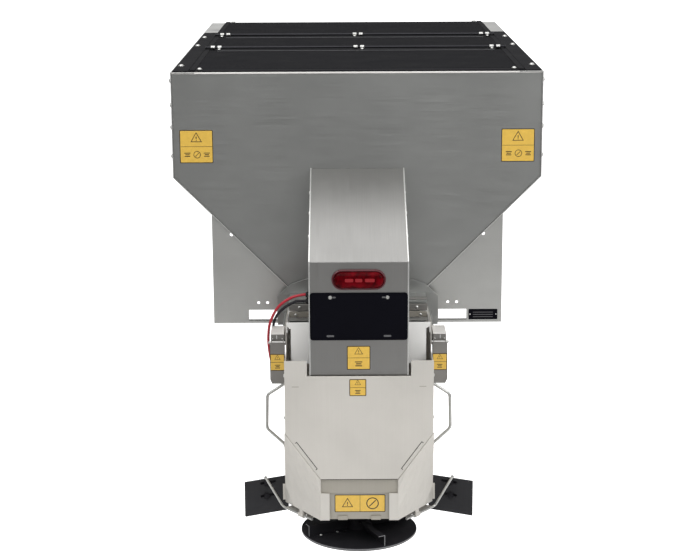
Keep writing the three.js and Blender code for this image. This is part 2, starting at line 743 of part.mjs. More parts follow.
// Fixed arm of the chute hinge: a channel that stands out from the discharge plate, with the
// hinge knuckle at its end and the keeper that the latch bracket swings up against.
function hingeBracket() {
  const top = 111;
  const bottom = 88;
  const body = join(
    boxBehind(BRACKET_INNER, KEEPER_OUTER, PLATE_FACE, PLATE_FACE + 3.6, 20, top),
    boxBehind(BRACKET_INNER, BRACKET_OUTER, PLATE_FACE, 144, top - SHEET, top),
    boxBehind(BRACKET_INNER, BRACKET_OUTER, 141, 144, bottom, top),
    boxBehind(...FIXED_KNUCKLE, 141, PIVOT_DEPTH, PIVOT_HEIGHT, bottom + 4),
    cylinderAlongX(...FIXED_KNUCKLE, PIVOT_Y, PIVOT_HEIGHT, PIVOT_KNUCKLE_RADIUS, 24),
    boxBehind(KEEPER_INNER, KEEPER_OUTER, PLATE_FACE, 193, 20, 50),
  );
  return cut(body, pivotBore());
}

const hinges = addGroup();
addPair(hinges, 'hinge_bracket', hingeBracket(), CHUTE_STEEL);
addPair(
  hinges, 'pivot_pin',
  cylinderAlongX(BRACKET_INNER + 1, CHUTE_KNUCKLE[1], PIVOT_Y, PIVOT_HEIGHT, PIVOT_PIN_RADIUS, 20),
  BRIGHT_STEEL,
);

// ---------------------------------------------------------------- chute

const SIDE_INNER = CHUTE_HALF - SHEET;
const CHEEK_FACE = 300;
const CHEEK_FOOT = -50;
const HANGER_OUTER = SIDE_INNER - GAP;

// Right-hand frame of the black side plate: along runs outwards, through runs to the rear.
const toe = {
  origin: new THREE.Vector3(238.5, behind(130), 0),
  along: new THREE.Vector3(Math.cos(TOE_ANGLE), -Math.sin(TOE_ANGLE), 0),
  through: new THREE.Vector3(-Math.sin(TOE_ANGLE), -Math.cos(TOE_ANGLE), 0),
};
const SLOT_HEIGHTS = [-504, -549.5];
const STUD_PLACE = 81;
const SIDE_PLATE_THICKNESS = 6;

function toePoint(along, through, z) {
  return toe.origin.clone()
    .addScaledVector(toe.along, along)
    .addScaledVector(toe.through, through)
    .setZ(z);
}

// A block in the side plate's frame, from its along, through and Z ranges.
function toeBlock(along0, along1, through0, through1, z0, z1) {
  const block = new THREE.BoxGeometry(along1 - along0, through1 - through0, z1 - z0);
  const centre = toePoint((along0 + along1) / 2, (through0 + through1) / 2, (z0 + z1) / 2);
  return block.rotateZ(-TOE_ANGLE).translate(centre.x, centre.y, centre.z);
}

function toeCylinder(along, through0, through1, z, radius, sides) {
  return cylinder(toePoint(along, through0, z), toePoint(along, through1, z), radius, sides);
}

// The bracket and two clamp studs that hold a side plate.
function sidePlateMount() {
  const studs = SLOT_HEIGHTS.flatMap((z) => [
    toeCylinder(STUD_PLACE, -2, SIDE_PLATE_THICKNESS + 9, z, 4, 12),
    toeCylinder(STUD_PLACE, SIDE_PLATE_THICKNESS + GAP, SIDE_PLATE_THICKNESS + 2, z, 9, 16),
    toeCylinder(STUD_PLACE, SIDE_PLATE_THICKNESS + 2, SIDE_PLATE_THICKNESS + 8, z, 7, 6),
  ]);
  return [toeBlock(-8.5, 96, -3.5, -0.5, -565, -495), ...studs];
}

const CABLE_GLANDS = [
  { name: 'power_cable_red', depth: 150, height: -140 },
  { name: 'power_cable_black', depth: 150, height: -110 },
];

function chuteShell() {
  const side = [
    [85, CHUTE_BOTTOM], [25, CHUTE_TOP], [25, 50], [60, 76], [CHEEK_FACE, 87], [CHEEK_FACE, CHUTE_TOP],
    [CHUTE_FRONT, CHUTE_TOP], [CHUTE_FRONT, CHUTE_BEND], [SIDE_FOOT_DEPTH, CHUTE_BOTTOM],
  ];
  const back = [[25, CHUTE_TOP], [85, CHUTE_BOTTOM], [85 + SHEET, CHUTE_BOTTOM], [25 + SHEET, CHUTE_TOP]];
  const glands = CABLE_GLANDS.map(({ depth, height }) => cylinderAlongX(
    -CHUTE_HALF - BOSS_LENGTH, -CHUTE_HALF + 1, behind(depth), height, 9, 12,
  ));
  const mounts = sidePlateMount();
  return join(
    prismAlongX(side, SIDE_INNER, CHUTE_HALF),
    prismAlongX(side, -CHUTE_HALF, -SIDE_INNER),
    prismAlongX(back, -SIDE_INNER - 1, SIDE_INNER + 1),
    ...mounts,
    ...mounts.map(mirrored),
    ...glands,
  );
}

function chuteFrontPanel() {
  const outline = symmetric([
    [NOTCH_HALF, -46], [NOTCH_HALF, CHUTE_TOP], [CHUTE_HALF, CHUTE_TOP], [CHUTE_HALF, CHUTE_BEND],
    [PANEL_FOOT_HALF, PANEL_FOOT],
  ]);
  return prismBehind(outline, CHUTE_FRONT + GAP, CHUTE_FRONT + GAP + SHEET);
}

const ROD_LENGTH = 152;

// Ends of the deflector's rod and the place of its bush, on the right-hand side.
const rod = {
  start: new THREE.Vector3(250, behind(283), DEFLECTOR_HEIGHT),
  end: new THREE.Vector3(152, behind(400), DEFLECTOR_HEIGHT),
  radius: 4,
  bush: 98.7,
  bushHalf: 12,
};
rod.along = new THREE.Vector3().subVectors(rod.end, rod.start).normalize();
rod.inward = new THREE.Vector3().crossVectors(Z_AXIS, rod.along).negate();

function rodPoint(along, inward = 0, lift = 0) {
  return rod.start.clone()
    .addScaledVector(rod.along, along)
    .addScaledVector(rod.inward, inward)
    .add(new THREE.Vector3(0, 0, lift));
}

// Twisted sheet that closes the chute's lower corner, with its folded inner edge and the bush
// that carries the deflector rod.
function chuteWing() {
  const corners = [
    new THREE.Vector3(CHUTE_HALF, behind(CHUTE_FRONT), CHUTE_BEND),
    new THREE.Vector3(PANEL_FOOT_HALF, behind(CHUTE_FRONT), PANEL_FOOT),
    new THREE.Vector3(120, behind(452), CHUTE_BOTTOM),
    new THREE.Vector3(CHUTE_HALF + 5, behind(SIDE_FOOT_DEPTH), CHUTE_BOTTOM),
  ];
  const outward = new THREE.Vector3(0.6, -0.66, -0.44).multiplyScalar(0.8);
  const sheet = twistedSheet(corners.map((corner) => corner.clone().add(outward)), SHEET, 4);
  const fold = boxBehind(95, 125, 451, 455, CHUTE_BOTTOM, -436);
  const bushStart = rodPoint(rod.bush - rod.bushHalf);
  const bushEnd = rodPoint(rod.bush + rod.bushHalf);
  const tab = new THREE.BoxGeometry(20, 4, 26);
  const edgeAngle = Math.atan2(-194, -116);
  const tabCentre = rodPoint(rod.bush, 0, 14);
  tab.rotateZ(edgeAngle).translate(tabCentre.x + 1, tabCentre.y - 1, tabCentre.z);
  const bore = cylinder(rodPoint(0), rodPoint(ROD_LENGTH + 8), rod.radius + 0.4, 16);
  return cut(join(sheet, fold, tab, cylinder(bushStart, bushEnd, 8, 20)), bore);
}

// Bar that hangs the chute from its hinge, with the knuckle, the strip along the side sheet and
// the cheek that closes the gap beside the drive housing.
function chuteHanger() {
  const stripInner = BRACKET_OUTER;
  const cheek = [
    [NOTCH_HALF, CHEEK_FOOT], [217, CHEEK_FOOT], [217, 66], [HANGER_OUTER, 74], [HANGER_OUTER, 86],
    [NOTCH_HALF, 86],
  ];
  const body = join(
    boxBehind(160, HANGER_OUTER, 135, 150, 52, 72),
    boxBehind(...CHUTE_KNUCKLE, 138, PIVOT_DEPTH, 60, PIVOT_HEIGHT),
    cylinderAlongX(...CHUTE_KNUCKLE, PIVOT_Y, PIVOT_HEIGHT, PIVOT_KNUCKLE_RADIUS, 24),
    boxBehind(stripInner, HANGER_OUTER, 105, CHEEK_FACE, 52, 77),
    prismBehind(cheek, CHEEK_FACE - SHEET, CHEEK_FACE),
  );
  return cut(body, pivotBore());
}

function grabHandle() {
  const x = CHUTE_HALF + GAP + 5;
  const depth = 262;
  const points = [[x, -105], [x, -128], [x + 58, -166], [x + 61, -281], [x, -338], [x, -357]];
  return bentRod(points.map(([u, z]) => new THREE.Vector3(u, behind(depth), z)), 5, 9, 24, 8);
}

const chute = addGroup();
addPart(chute, 'chute_shell', chuteShell(), CHUTE_STEEL);
addPart(chute, 'chute_front_panel', chuteFrontPanel(), CHUTE_STEEL);
addPart(
  chute, 'chute_lower_plate',
  boxBehind(-116, 116, 441, 441 + SHEET, CHUTE_BOTTOM, -380), CHUTE_STEEL,
);
addPair(chute, 'chute_wing', chuteWing(), CHUTE_STEEL);
addPair(chute, 'chute_hanger', chuteHanger(), CHUTE_STEEL);
addPair(chute, 'grab_handle', grabHandle(), BRIGHT_STEEL);

// ---------------------------------------------------------------- latches

const LATCH_Y = behind(LATCH_DEPTH);
const LATCH_INNER = 240;
const LATCH_OUTER = 282;
const LATCH_TOP = 46;
const LEVER_BOTTOM = -117;

function latchEars(x0, x1) {
  return [
    boxBehind(x0, x1, 195, 286, -12, LATCH_TOP),
    boxBehind(x0, x1, 284, LATCH_DEPTH, LATCH_HEIGHT - 8.5, LATCH_HEIGHT + 8.5),
    cylinderAlongX(x0, x1, LATCH_Y, LATCH_HEIGHT, 8.5, 20),
  ];
}

// U-shaped housing of the latch on the chute's side, with the ears for the lever's pin.
function latchBracket() {
  const body = join(
    ...latchEars(LATCH_INNER, LATCH_INNER + SHEET),
    ...latchEars(LATCH_OUTER - SHEET, LATCH_OUTER),
    boxBehind(LATCH_INNER, LATCH_OUTER, 195, 286, LATCH_TOP - SHEET, LATCH_TOP),
    boxBehind(LATCH_INNER, LATCH_OUTER, 283, 286, 25, LATCH_TOP),
    boxBehind(CHUTE_HALF + GAP, LATCH_INNER + 1, 205, 275, 5, 38),
  );
  const bore = cylinderAlongX(LATCH_INNER - 10, LATCH_OUTER + 10, LATCH_Y, LATCH_HEIGHT, 4.4, 16);
  return cut(body, bore);
}

// The lever: a face plate with two side flanges and its cross pin.
function latchLever() {
  const inner = LATCH_INNER - SHEET;
  const outer = LATCH_OUTER + SHEET;
  const flange = [[282, 26], [303, 14], [303, LEVER_BOTTOM], [286, LEVER_BOTTOM + 6]];
  return join(
    boxBehind(inner, outer, 300, 303, LEVER_BOTTOM, 14),
    prismAlongX(flange, inner, LATCH_INNER - GAP),
    prismAlongX(flange, LATCH_OUTER + GAP, outer),
    cylinderAlongX(inner + 1, outer - 1, LATCH_Y, LATCH_HEIGHT, 4, 16),
  );
}

addPair(chute, 'latch_bracket', latchBracket(), CHUTE_STEEL);
addPair(chute, 'latch_lever', latchLever(), STAINLESS);

// ---------------------------------------------------------------- deflectors and side plates

// A rod in the chute's lower corner that carries a flap and ends in an upright arm.
function deflector() {
  const armTip = new THREE.Vector3(305, behind(327), -426);
  const bar = bentRod([rodPoint(ROD_LENGTH), rodPoint(0), armTip], rod.radius, 12, 24, 8);
  const outline = new THREE.Shape([
    [12, 0], [84, 0], [84, 13], [114, 13], [114, 0], [140, 0], [140, 55], [12, 55],
  ].map(([u, v]) => new THREE.Vector2(u, v)));
  const flap = new THREE.ExtrudeGeometry(outline, { depth: 2.5, bevelEnabled: false });
  const basis = new THREE.Matrix4().makeBasis(rod.along, rod.inward, Z_AXIS.clone().negate());
  flap.applyMatrix4(basis).translate(rod.start.x, rod.start.y, rod.start.z + 1);
  return join(bar, flap);
}

function sidePlate() {
  const slots = SLOT_HEIGHTS.flatMap((z) => [
    toeBlock(50, 98, -1, SIDE_PLATE_THICKNESS + 1, z - 4.6, z + 4.6),
    toeCylinder(50, -1, SIDE_PLATE_THICKNESS + 1, z, 4.6, 16),
    toeCylinder(98, -1, SIDE_PLATE_THICKNESS + 1, z, 4.6, 16),
  ]);
  return cut(toeBlock(0, SIDE_PLATE_LENGTH, 0, SIDE_PLATE_THICKNESS, -613, -490), ...slots);
}

addPair(chute, 'deflector', deflector(), BRIGHT_STEEL);
addPair(chute, 'side_plate', sidePlate(), BLACK_POLY);

// ---------------------------------------------------------------- spinner and its motor

const SPINNER_SHAFT_RADIUS = 12;
const SPINNER_HUB_RADIUS = 35;
const FIRST_VANE = THREE.MathUtils.degToRad(-63.6);
const SPINNER_MOTOR_RADIUS = 55;
const MOTOR_TOP = -400;

function spinnerMotor() {
  const y = behind(SPINNER_DEPTH);
  const bottom = MOTOR_PLATE + 4 + GAP;
  const bore = cylinderUp(0, y, bottom - 1, -470, SPINNER_SHAFT_RADIUS + 0.5, 24);
  return cut(cylinderUp(0, y, bottom, MOTOR_TOP, SPINNER_MOTOR_RADIUS, 32), bore);
}

function spinnerMotorBracket() {
  const outline = symmetric([[60, 338], [120, 300], [230, 215], [230, 140]]);
  const bore = cylinderUp(0, behind(SPINNER_DEPTH), MOTOR_PLATE - 1, MOTOR_PLATE + 5, 20, 24);
  return cut(prismUp(outline, MOTOR_PLATE, MOTOR_PLATE + 4), bore);
}

// Disc, hub, shaft and four folded vanes as one moulding, about its own axis.
function spinnerDisc() {
  const thickness = 10;
  const vaneHeight = 36;
  const vaneEnd = SPINNER_RADIUS - 4;
  const hubTop = 50;
  const pieces = [
    cylinderUp(0, 0, -thickness, 0, SPINNER_RADIUS, 64),
    cylinderUp(0, 0, -1, hubTop, SPINNER_HUB_RADIUS, 32),
    cylinderUp(0, 0, hubTop - 10, 140, SPINNER_SHAFT_RADIUS, 24),
  ];
  for (let vane = 0; vane < 4; vane += 1) {
    const web = box(SPINNER_HUB_RADIUS - 5, vaneEnd, -1.5, 1.5, -1, vaneHeight);
    const flange = box(SPINNER_HUB_RADIUS - 1, vaneEnd, -22, 1.5, vaneHeight - SHEET, vaneHeight);
    const angle = FIRST_VANE - (vane * Math.PI) / 2;
    pieces.push(web.rotateZ(angle), flange.rotateZ(angle));
  }
  return join(...pieces);
}

addPart(chute, 'spinner_motor_bracket', spinnerMotorBracket(), STAINLESS);
addPart(chute, 'spinner_motor', spinnerMotor(), CAST_IRON);
const spinner = addPart(chute, 'spinner_disc', spinnerDisc(), BLACK_POLY);
spinner.position.set(0, behind(SPINNER_DEPTH), SPINNER_TOP);

// ---------------------------------------------------------------- power cables

const CABLE_RADIUS = 4.5;
const CABLE_ROUTES = {
  power_cable_red: [
    [-216, 231, 151], [-258, 221, 119], [-286, 201, 64], [-294, 187, 14], [-293, 180, -30],
    [-286, 170, -80], [-272, 158, -122],
  ],
  power_cable_black: [
    [-206, 231, 137], [-245, 222, 111], [-271, 198, 72], [-279, 182, 26], [-279, 174, -26],
    [-273, 166, -68], [-264, 156, -96],
  ],
};

function powerCable(exit, gland, route) {
  const points = [
    [-HOUSING_HALF - BOSS_LENGTH - GAP, exit.depth, exit.height],
    [-HOUSING_HALF - BOSS_LENGTH - 10, exit.depth, exit.height],
    ...route,
    [-CHUTE_HALF - BOSS_LENGTH - 8, gland.depth, gland.height],
    [-CHUTE_HALF - BOSS_LENGTH - GAP, gland.depth, gland.height],
  ];
  const path = new THREE.CatmullRomCurve3(
    points.map(([x, depth, z]) => new THREE.Vector3(x, behind(depth), z)), false, 'centripetal',
  );
  return tubeAlong(path, CABLE_RADIUS, 30, 8);
}

const cables = addGroup();
CABLE_EXITS.forEach((exit, k) => {
  const finish = exit.name === 'power_cable_red' ? RED_CABLE : BLACK_RUBBER;
  addPart(cables, exit.name, powerCable(exit, CABLE_GLANDS[k], CABLE_ROUTES[exit.name]), finish);
});

export default group;
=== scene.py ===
"""Looks of the truck-bed salt spreader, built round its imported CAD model. Metres, +Z up."""
import math

import bmesh
import bpy
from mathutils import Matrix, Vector


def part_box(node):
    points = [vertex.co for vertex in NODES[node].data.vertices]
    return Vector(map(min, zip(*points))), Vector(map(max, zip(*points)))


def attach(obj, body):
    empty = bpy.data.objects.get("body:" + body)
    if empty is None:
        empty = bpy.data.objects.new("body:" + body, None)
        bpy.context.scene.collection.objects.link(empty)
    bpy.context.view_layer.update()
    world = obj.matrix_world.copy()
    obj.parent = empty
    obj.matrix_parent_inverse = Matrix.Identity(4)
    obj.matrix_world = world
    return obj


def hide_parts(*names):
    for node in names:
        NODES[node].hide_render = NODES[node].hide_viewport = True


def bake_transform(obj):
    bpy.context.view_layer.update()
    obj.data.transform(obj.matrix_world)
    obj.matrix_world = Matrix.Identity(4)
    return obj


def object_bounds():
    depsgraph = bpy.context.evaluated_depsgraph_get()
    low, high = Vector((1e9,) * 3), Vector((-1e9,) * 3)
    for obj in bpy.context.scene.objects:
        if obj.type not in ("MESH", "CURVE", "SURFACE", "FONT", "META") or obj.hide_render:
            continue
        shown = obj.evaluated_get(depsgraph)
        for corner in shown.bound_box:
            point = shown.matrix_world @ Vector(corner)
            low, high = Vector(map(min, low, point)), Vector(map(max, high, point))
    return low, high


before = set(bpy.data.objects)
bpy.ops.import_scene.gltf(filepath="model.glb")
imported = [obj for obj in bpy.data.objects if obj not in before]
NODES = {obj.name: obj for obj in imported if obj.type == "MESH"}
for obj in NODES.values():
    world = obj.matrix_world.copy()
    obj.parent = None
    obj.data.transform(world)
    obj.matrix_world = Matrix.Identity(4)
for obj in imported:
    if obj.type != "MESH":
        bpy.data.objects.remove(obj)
cad_low, cad_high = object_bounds()

X = Vector((1, 0, 0))
Y = Vector((0, 1, 0))
Z = Vector((0, 0, 1))
SIDES = (("left", -1), ("right", 1))
CORNERS = ((-1, -1), (-1, 1), (1, -1), (1, 1))


# ---------------------------------------------------------------- camera, light and floor

CAMERA_LENS = 87.6
CAMERA_PLACE = (-0.0419, -6.482, 1.494)
CAMERA_DOWN, CAMERA_ROLL, CAMERA_PAN = 13.54, 0.24, -0.225     # degrees


def make_camera():
    """A long lens behind the spreader, a little above it."""
    data = bpy.data.cameras.new("camera")
    data.lens = CAMERA_LENS
    camera = bpy.data.objects.new("camera", data)
    camera.location = CAMERA_PLACE
    camera.rotation_euler = [math.radians(a) for a in (90 - CAMERA_DOWN, CAMERA_ROLL, CAMERA_PAN)]
    bpy.context.scene.collection.objects.link(camera)
    bpy.context.scene.camera = camera


def area_light(name, location, target, size, power):
    data = bpy.data.lights.new(name, "AREA")
    data.shape = "RECTANGLE"
    data.size, data.size_y = size
    data.energy = power
    light = bpy.data.objects.new(name, data)
    light.location = location
    light.rotation_euler = (Vector(target) - Vector(location)).to_track_quat("-Z", "Y").to_euler()
    bpy.context.scene.collection.objects.link(light)


def grey(value):
    return (value, value, value, 1)


def make_view():
    """Plain display of colours, with no film curve."""
    bpy.context.scene.view_settings.view_transform = "Standard"


def make_world():
    """Soft surroundings, bright overhead and darker round the horizon, so that upright steel looks grey."""
    world = bpy.data.worlds.new("studio")
    world.use_nodes = True
    bpy.context.scene.world = world
    tree = world.node_tree
    coords = tree.nodes.new("ShaderNodeTexCoord")
    split = tree.nodes.new("ShaderNodeSeparateXYZ")
    ramp = tree.nodes.new("ShaderNodeValToRGB").color_ramp
    ramp.elements[0].position, ramp.elements[0].color = 0.0, grey(0.34)
    ramp.elements[1].position, ramp.elements[1].color = 0.8, grey(0.92)
    ramp.elements.new(0.3).color = grey(0.46)
    tree.links.new(coords.outputs["Generated"], split.inputs[0])
    tree.links.new(split.outputs["Z"], tree.nodes["Color Ramp"].inputs["Fac"])
    tree.links.new(tree.nodes["Color Ramp"].outputs["Color"], tree.nodes["Background"].inputs["Color"])


def make_floor(name, height, glow):
    """A wide flat floor that shines by itself by the glow."""
    half = 60
    mesh = bpy.data.meshes.new(name)
    corners = [(half * x, half * y, height) for x, y in CORNERS]
    mesh.from_pydata(corners, [], [(0, 2, 3, 1)])
    floor = bpy.data.objects.new(name, mesh)
    bpy.context.scene.collection.objects.link(floor)
    surface = Surface(name, (0.9, 0.9, 0.9), 0.9)
    surface.set(Emission_Color=grey(1.0), Emission_Strength=glow)
    mesh.materials.append(surface.material)
    return floor, surface


LIGHTS = (                             # name, place, target, size and power
    ("key", (-3.2, -4.5, 4.6), (0, -0.9, 0.1), (3.0, 2.0), 120),
    ("fill", (3.8, -4.0, 2.4), (0, -0.9, 0), (2.5, 2.5), 80),
    ("front", (0.5, -7.4, 3.6), (0, -1.2, -0.1), (3.0, 2.0), 62),
    ("top", (0, 0, 5.0), (0, 0, 0.5), (4.0, 4.0), 60),
)


def make_lights():
    for light in LIGHTS:
        area_light(*light)


FLOOR_DROP = 0.55
FLOOR_GAP = 0.002
FLOOR_GLOW = 0.85


def make_stage():
    """A white floor for the eye, and under it the one that the steel reflects, with painted light: lighter
    near the spreader and to the right, darker to the rear.
    """
    height = cad_low.z - FLOOR_DROP
    seen, _ = make_floor("floor", height, FLOOR_GLOW)
    seen.visible_glossy = False
    seen.visible_diffuse = False
    seen.visible_shadow = False
    lit, surface = make_floor("floor_reflected", height - FLOOR_GAP, 0.0)
    lit.visible_camera = False
    # painted light: the reflected floor is coloured lighter near the spreader and to the right, as a pool of
    # light for the steel to reflect
    split = surface.node("SeparateXYZ", Vector=surface.coords)
    painted_light_by_depth = surface.ranged(split.outputs["Y"], 0.27, 0.80, -5.2, -2.6)
    painted_light_by_side = surface.ranged(split.outputs["X"], -0.04, 0.14, -2.0, 3.0)
    total = surface.tree.nodes.new("ShaderNodeMath")
    surface.tree.links.new(painted_light_by_depth, total.inputs[0])
    surface.tree.links.new(painted_light_by_side, total.inputs[1])
    surface.tree.links.new(total.outputs[0], surface.shader.inputs["Base Color"])


# ---------------------------------------------------------------- materials

class Surface:
    """A principled material with procedural grain, built up one property at a time."""

    def __init__(self, name, color, roughness, metallic=0.0):
        self.material = bpy.data.materials.new(name)
        self.material.use_nodes = True
        self.tree = self.material.node_tree
        self.shader = self.tree.nodes["Principled BSDF"]
        self.color = (*color, 1)
        self.shader.inputs["Base Color"].default_value = self.color
        self.shader.inputs["Roughness"].default_value = roughness
        self.shader.inputs["Metallic"].default_value = metallic
        self.coords = self.tree.nodes.new("ShaderNodeTexCoord").outputs["Object"]

    def node(self, kind, **inputs):
        """A new node. Each input gets a value, or a link from another node's output."""
        made = self.tree.nodes.new(f"ShaderNode{kind}")
        for name, value in inputs.items():
            socket = made.inputs[name.replace("_", " ")]
            if isinstance(value, bpy.types.NodeSocket):
                self.tree.links.new(value, socket)
            else:
                socket.default_value = value
        return made

    def noise(self, scale, detail=3.0, stretch=(1, 1, 1), rough=0.55):
        place = self.node("Mapping", Vector=self.coords, Scale=stretch).outputs["Vector"]
        return self.node("TexNoise", Vector=place, Scale=scale, Detail=detail, Roughness=rough).outputs["Fac"]

    def ranged(self, value, low, high, start=0.3, stop=0.7):
        """Carries the range from start to stop over to the one from low to high."""
        node = self.node("MapRange", Value=value, From_Min=start, From_Max=stop, To_Min=low, To_Max=high)
        return node.outputs["Result"]

    def vary_roughness(self, value, low, high):
        self.tree.links.new(self.ranged(value, low, high), self.shader.inputs["Roughness"])
        return self

    def vary_color(self, value, darker, lighter):
        """Multiplies the colour by a factor between darker and lighter."""
        mix = self.tree.nodes.new("ShaderNodeMix")
        mix.data_type = "RGBA"
        dark = [c * darker for c in self.color[:3]]
        light = [min(1.0, c * lighter) for c in self.color[:3]]
        mix.inputs["A"].default_value = (*dark, 1)
        mix.inputs["B"].default_value = (*light, 1)
        self.tree.links.new(self.ranged(value, 0, 1), mix.inputs["Factor"])
        self.tree.links.new(mix.outputs["Result"], self.shader.inputs["Base Color"])
        return self

    def bump(self, value, distance, strength=1.0):
        node = self.node("Bump", Height=value, Distance=distance, Strength=strength)
        self.tree.links.new(node.outputs["Normal"], self.shader.inputs["Normal"])
        return self

    def set(self, **sockets):
        for name, value in sockets.items():
            self.shader.inputs[name.replace("_", " ")].default_value = value
        return self


def sheet_metal(name, color, roughness, grain, metallic, cloud, shine, tint):
    """Fine lines along the grain, and cloudy finger marks."""
    surface = Surface(name, color, roughness, metallic)
    lines = surface.noise(9, detail=4, stretch=grain)
    clouds = surface.noise(*cloud)
    surface.vary_roughness(lines, roughness - shine[0], roughness + shine[1])
    surface.vary_color(clouds, *tint)
    surface.bump(lines, 0.00006)
    return surface.material


def brushed(name, color, roughness, grain):
    """Brushed or rolled stainless."""
    return sheet_metal(name, color, roughness, grain, 1.0, (3.2, 4), (0.07, 0.09), (0.92, 1.06))


def satin(name, color, roughness, grain, metallic=0.6):
    """Rolled stainless with a slightly chalky finish that scatters more light."""
    return sheet_metal(name, color, roughness, grain, metallic, (3.6, 5), (0.05, 0.08), (0.93, 1.05))


def level(count):
    """The grain that gives level lines, this fine over the height."""
    return (0.6, 0.6, count)


def upright(count):
    """The grain that gives upright lines, this fine over the width."""
    return (count, 0.6, 0.6)


def plastic(name, color, roughness, pebble=900, depth=0.00005, specular=0.5):
    """Pebbled plastic with a little dust."""
    surface = Surface(name, color, roughness)
    surface.set(Specular_IOR_Level=specular)
    grain = surface.noise(pebble, detail=2)
    dust = surface.noise(7, detail=5)
    surface.vary_roughness(dust, roughness - 0.06, roughness + 0.12)
    surface.vary_color(dust, 0.85, 1.25)
    surface.bump(grain, depth)
    return surface.material


def cast(name, color, roughness):
    """Rough painted casting."""
    surface = Surface(name, color, roughness, metallic=0.4)
    grain = surface.noise(260, detail=5)
    surface.vary_roughness(grain, roughness - 0.1, roughness + 0.12)
    surface.vary_color(surface.noise(24, detail=4), 0.75, 1.3)
    surface.bump(grain, 0.0003)
    return surface.material


def lens_material():
    """Dark red lens with fine upright prisms."""
    surface = Surface("lamp_red", (0.10, 0.0004, 0.003), 0.24)
    surface.set(Specular_IOR_Level=0.05)
    ribs = surface.noise(420, detail=1, stretch=(1, 0.05, 0.05))
    surface.vary_color(surface.noise(46, detail=2), 0.35, 1.5)
    surface.bump(ribs, 0.0003, 0.4)
    return surface.material


def sticker_material(name, color):
    """Printed film under a thin clear coat."""
    surface = Surface(name, color, 0.35)
    surface.vary_color(surface.noise(90, detail=4), 0.93, 1.04)
    surface.set(Coat_Weight=0.3)
    return surface.material


STEEL = brushed("hopper_stainless", (0.385, 0.39, 0.38), 0.36, level(70))
GUSSET_STEEL = brushed("gusset_stainless", (0.56, 0.56, 0.54), 0.40, level(70))
HOUSING = brushed("housing_stainless", (0.31, 0.306, 0.297), 0.38, upright(70))
CHUTE = satin("chute_stainless", (0.655, 0.63, 0.585), 0.50, upright(60))
# painted light: a near-white, almost unmetallic copy of the chute steel, so the shaded hanger cheeks look lit
CHEEK_LIT = satin("cheek_painted_light", (0.98, 0.96, 0.93), 0.6, upright(60), metallic=0.05)
# painted highlight: a bright copy of the chute steel for the latch caps and end-wall hems, standing in for
# the overhead light they reflect
CAP_HIGHLIGHT = satin("cap_hem_painted_highlight", (0.80, 0.78, 0.75), 0.5, upright(60), metallic=0.3)
# painted shade: a darker copy of the chute steel for the recessed lower plate, the lapped plates, the panel
# slits and a hinge bar
CHUTE_SHADED = satin("chute_painted_shade", (0.41, 0.385, 0.335), 0.48, upright(60))
# painted highlight: a bright copy of the stainless for thin edges, hems and the latch slit, standing in for
# the light they catch
HEM_HIGHLIGHT = brushed("hem_painted_highlight", (0.76, 0.76, 0.74), 0.34, (1, 1, 40))
ROD = brushed("rod_bright", (0.52, 0.52, 0.50), 0.30, (40, 40, 1))
HINGE_BAR = brushed("hinge_bar_dull", (0.045, 0.045, 0.05), 0.5, (1, 40, 40))
# painted highlight: a grey much lighter than the black covers, for the bright line along each hinge seam
STRIP_BEAD_HIGHLIGHT = plastic("strip_bead_painted_highlight", (0.07, 0.07, 0.075), 0.5)
# painted shadow: near-black strips laid on the chute where shadow falls in its joints and under the panel's
# bottom edge
SEAM_SHADE = brushed("seam_painted_shadow", (0.05, 0.047, 0.043), 0.5, (20, 20, 20))
BOLT = brushed("bolt_bright", (0.66, 0.66, 0.64), 0.30, (20, 20, 20))
LATCH_STEEL = satin("latch_stainless", (0.26, 0.25, 0.235), 0.42, upright(50))
CAST = cast("motor_cast", (0.045, 0.047, 0.05), 0.55)
POLY = plastic("black_poly", (0.030, 0.030, 0.033), 0.66, specular=0.25)
LID = plastic("lid_poly", (0.0075, 0.0075, 0.009), 0.78, specular=0.12)
PLATE = plastic("plate_black", (0.0022, 0.0022, 0.0045), 0.6, pebble=300, depth=0.00001, specular=0.06)
DISC = plastic("disc_black", (0.013, 0.0125, 0.015), 0.66, specular=0.15)
# painted highlight: a lighter grey for the edge highlights on the rim and the vane tips
DISC_EDGE_HIGHLIGHT = plastic("disc_edge_painted_highlight", (0.16, 0.16, 0.165), 0.5, pebble=500)
RUBBER = plastic("rubber_black", (0.011, 0.011, 0.012), 0.7, specular=0.3)
CABLE_RED = plastic("cable_red", (0.42, 0.014, 0.03), 0.40, pebble=300)
CABLE_BLACK = plastic("cable_black", (0.016, 0.014, 0.018), 0.5, pebble=300, specular=0.3)
LENS = lens_material()
YELLOW = sticker_material("sticker_yellow", (0.72, 0.46, 0.075))
INK = sticker_material("sticker_ink", (0.012, 0.011, 0.01))
GREY_INK = sticker_material("grey_ink", (0.10, 0.10, 0.105))
LENS_DARK = sticker_material("lamp_optics", (0.26, 0.0015, 0.007))
LENS_RIM = sticker_material("lamp_flange", (0.075, 0.002, 0.007))
WORN = brushed("worn_flight", (0.42, 0.41, 0.39), 0.42, (8, 8, 8))


# ---------------------------------------------------------------- mesh building

def circle(centre, side, other, radius, steps):
    """Points round a centre, in the plane of two unit vectors."""
    angles = [2 * math.pi * k / steps for k in range(steps)]
    return [centre + (side * math.cos(a) + other * math.sin(a)) * radius for a in angles]


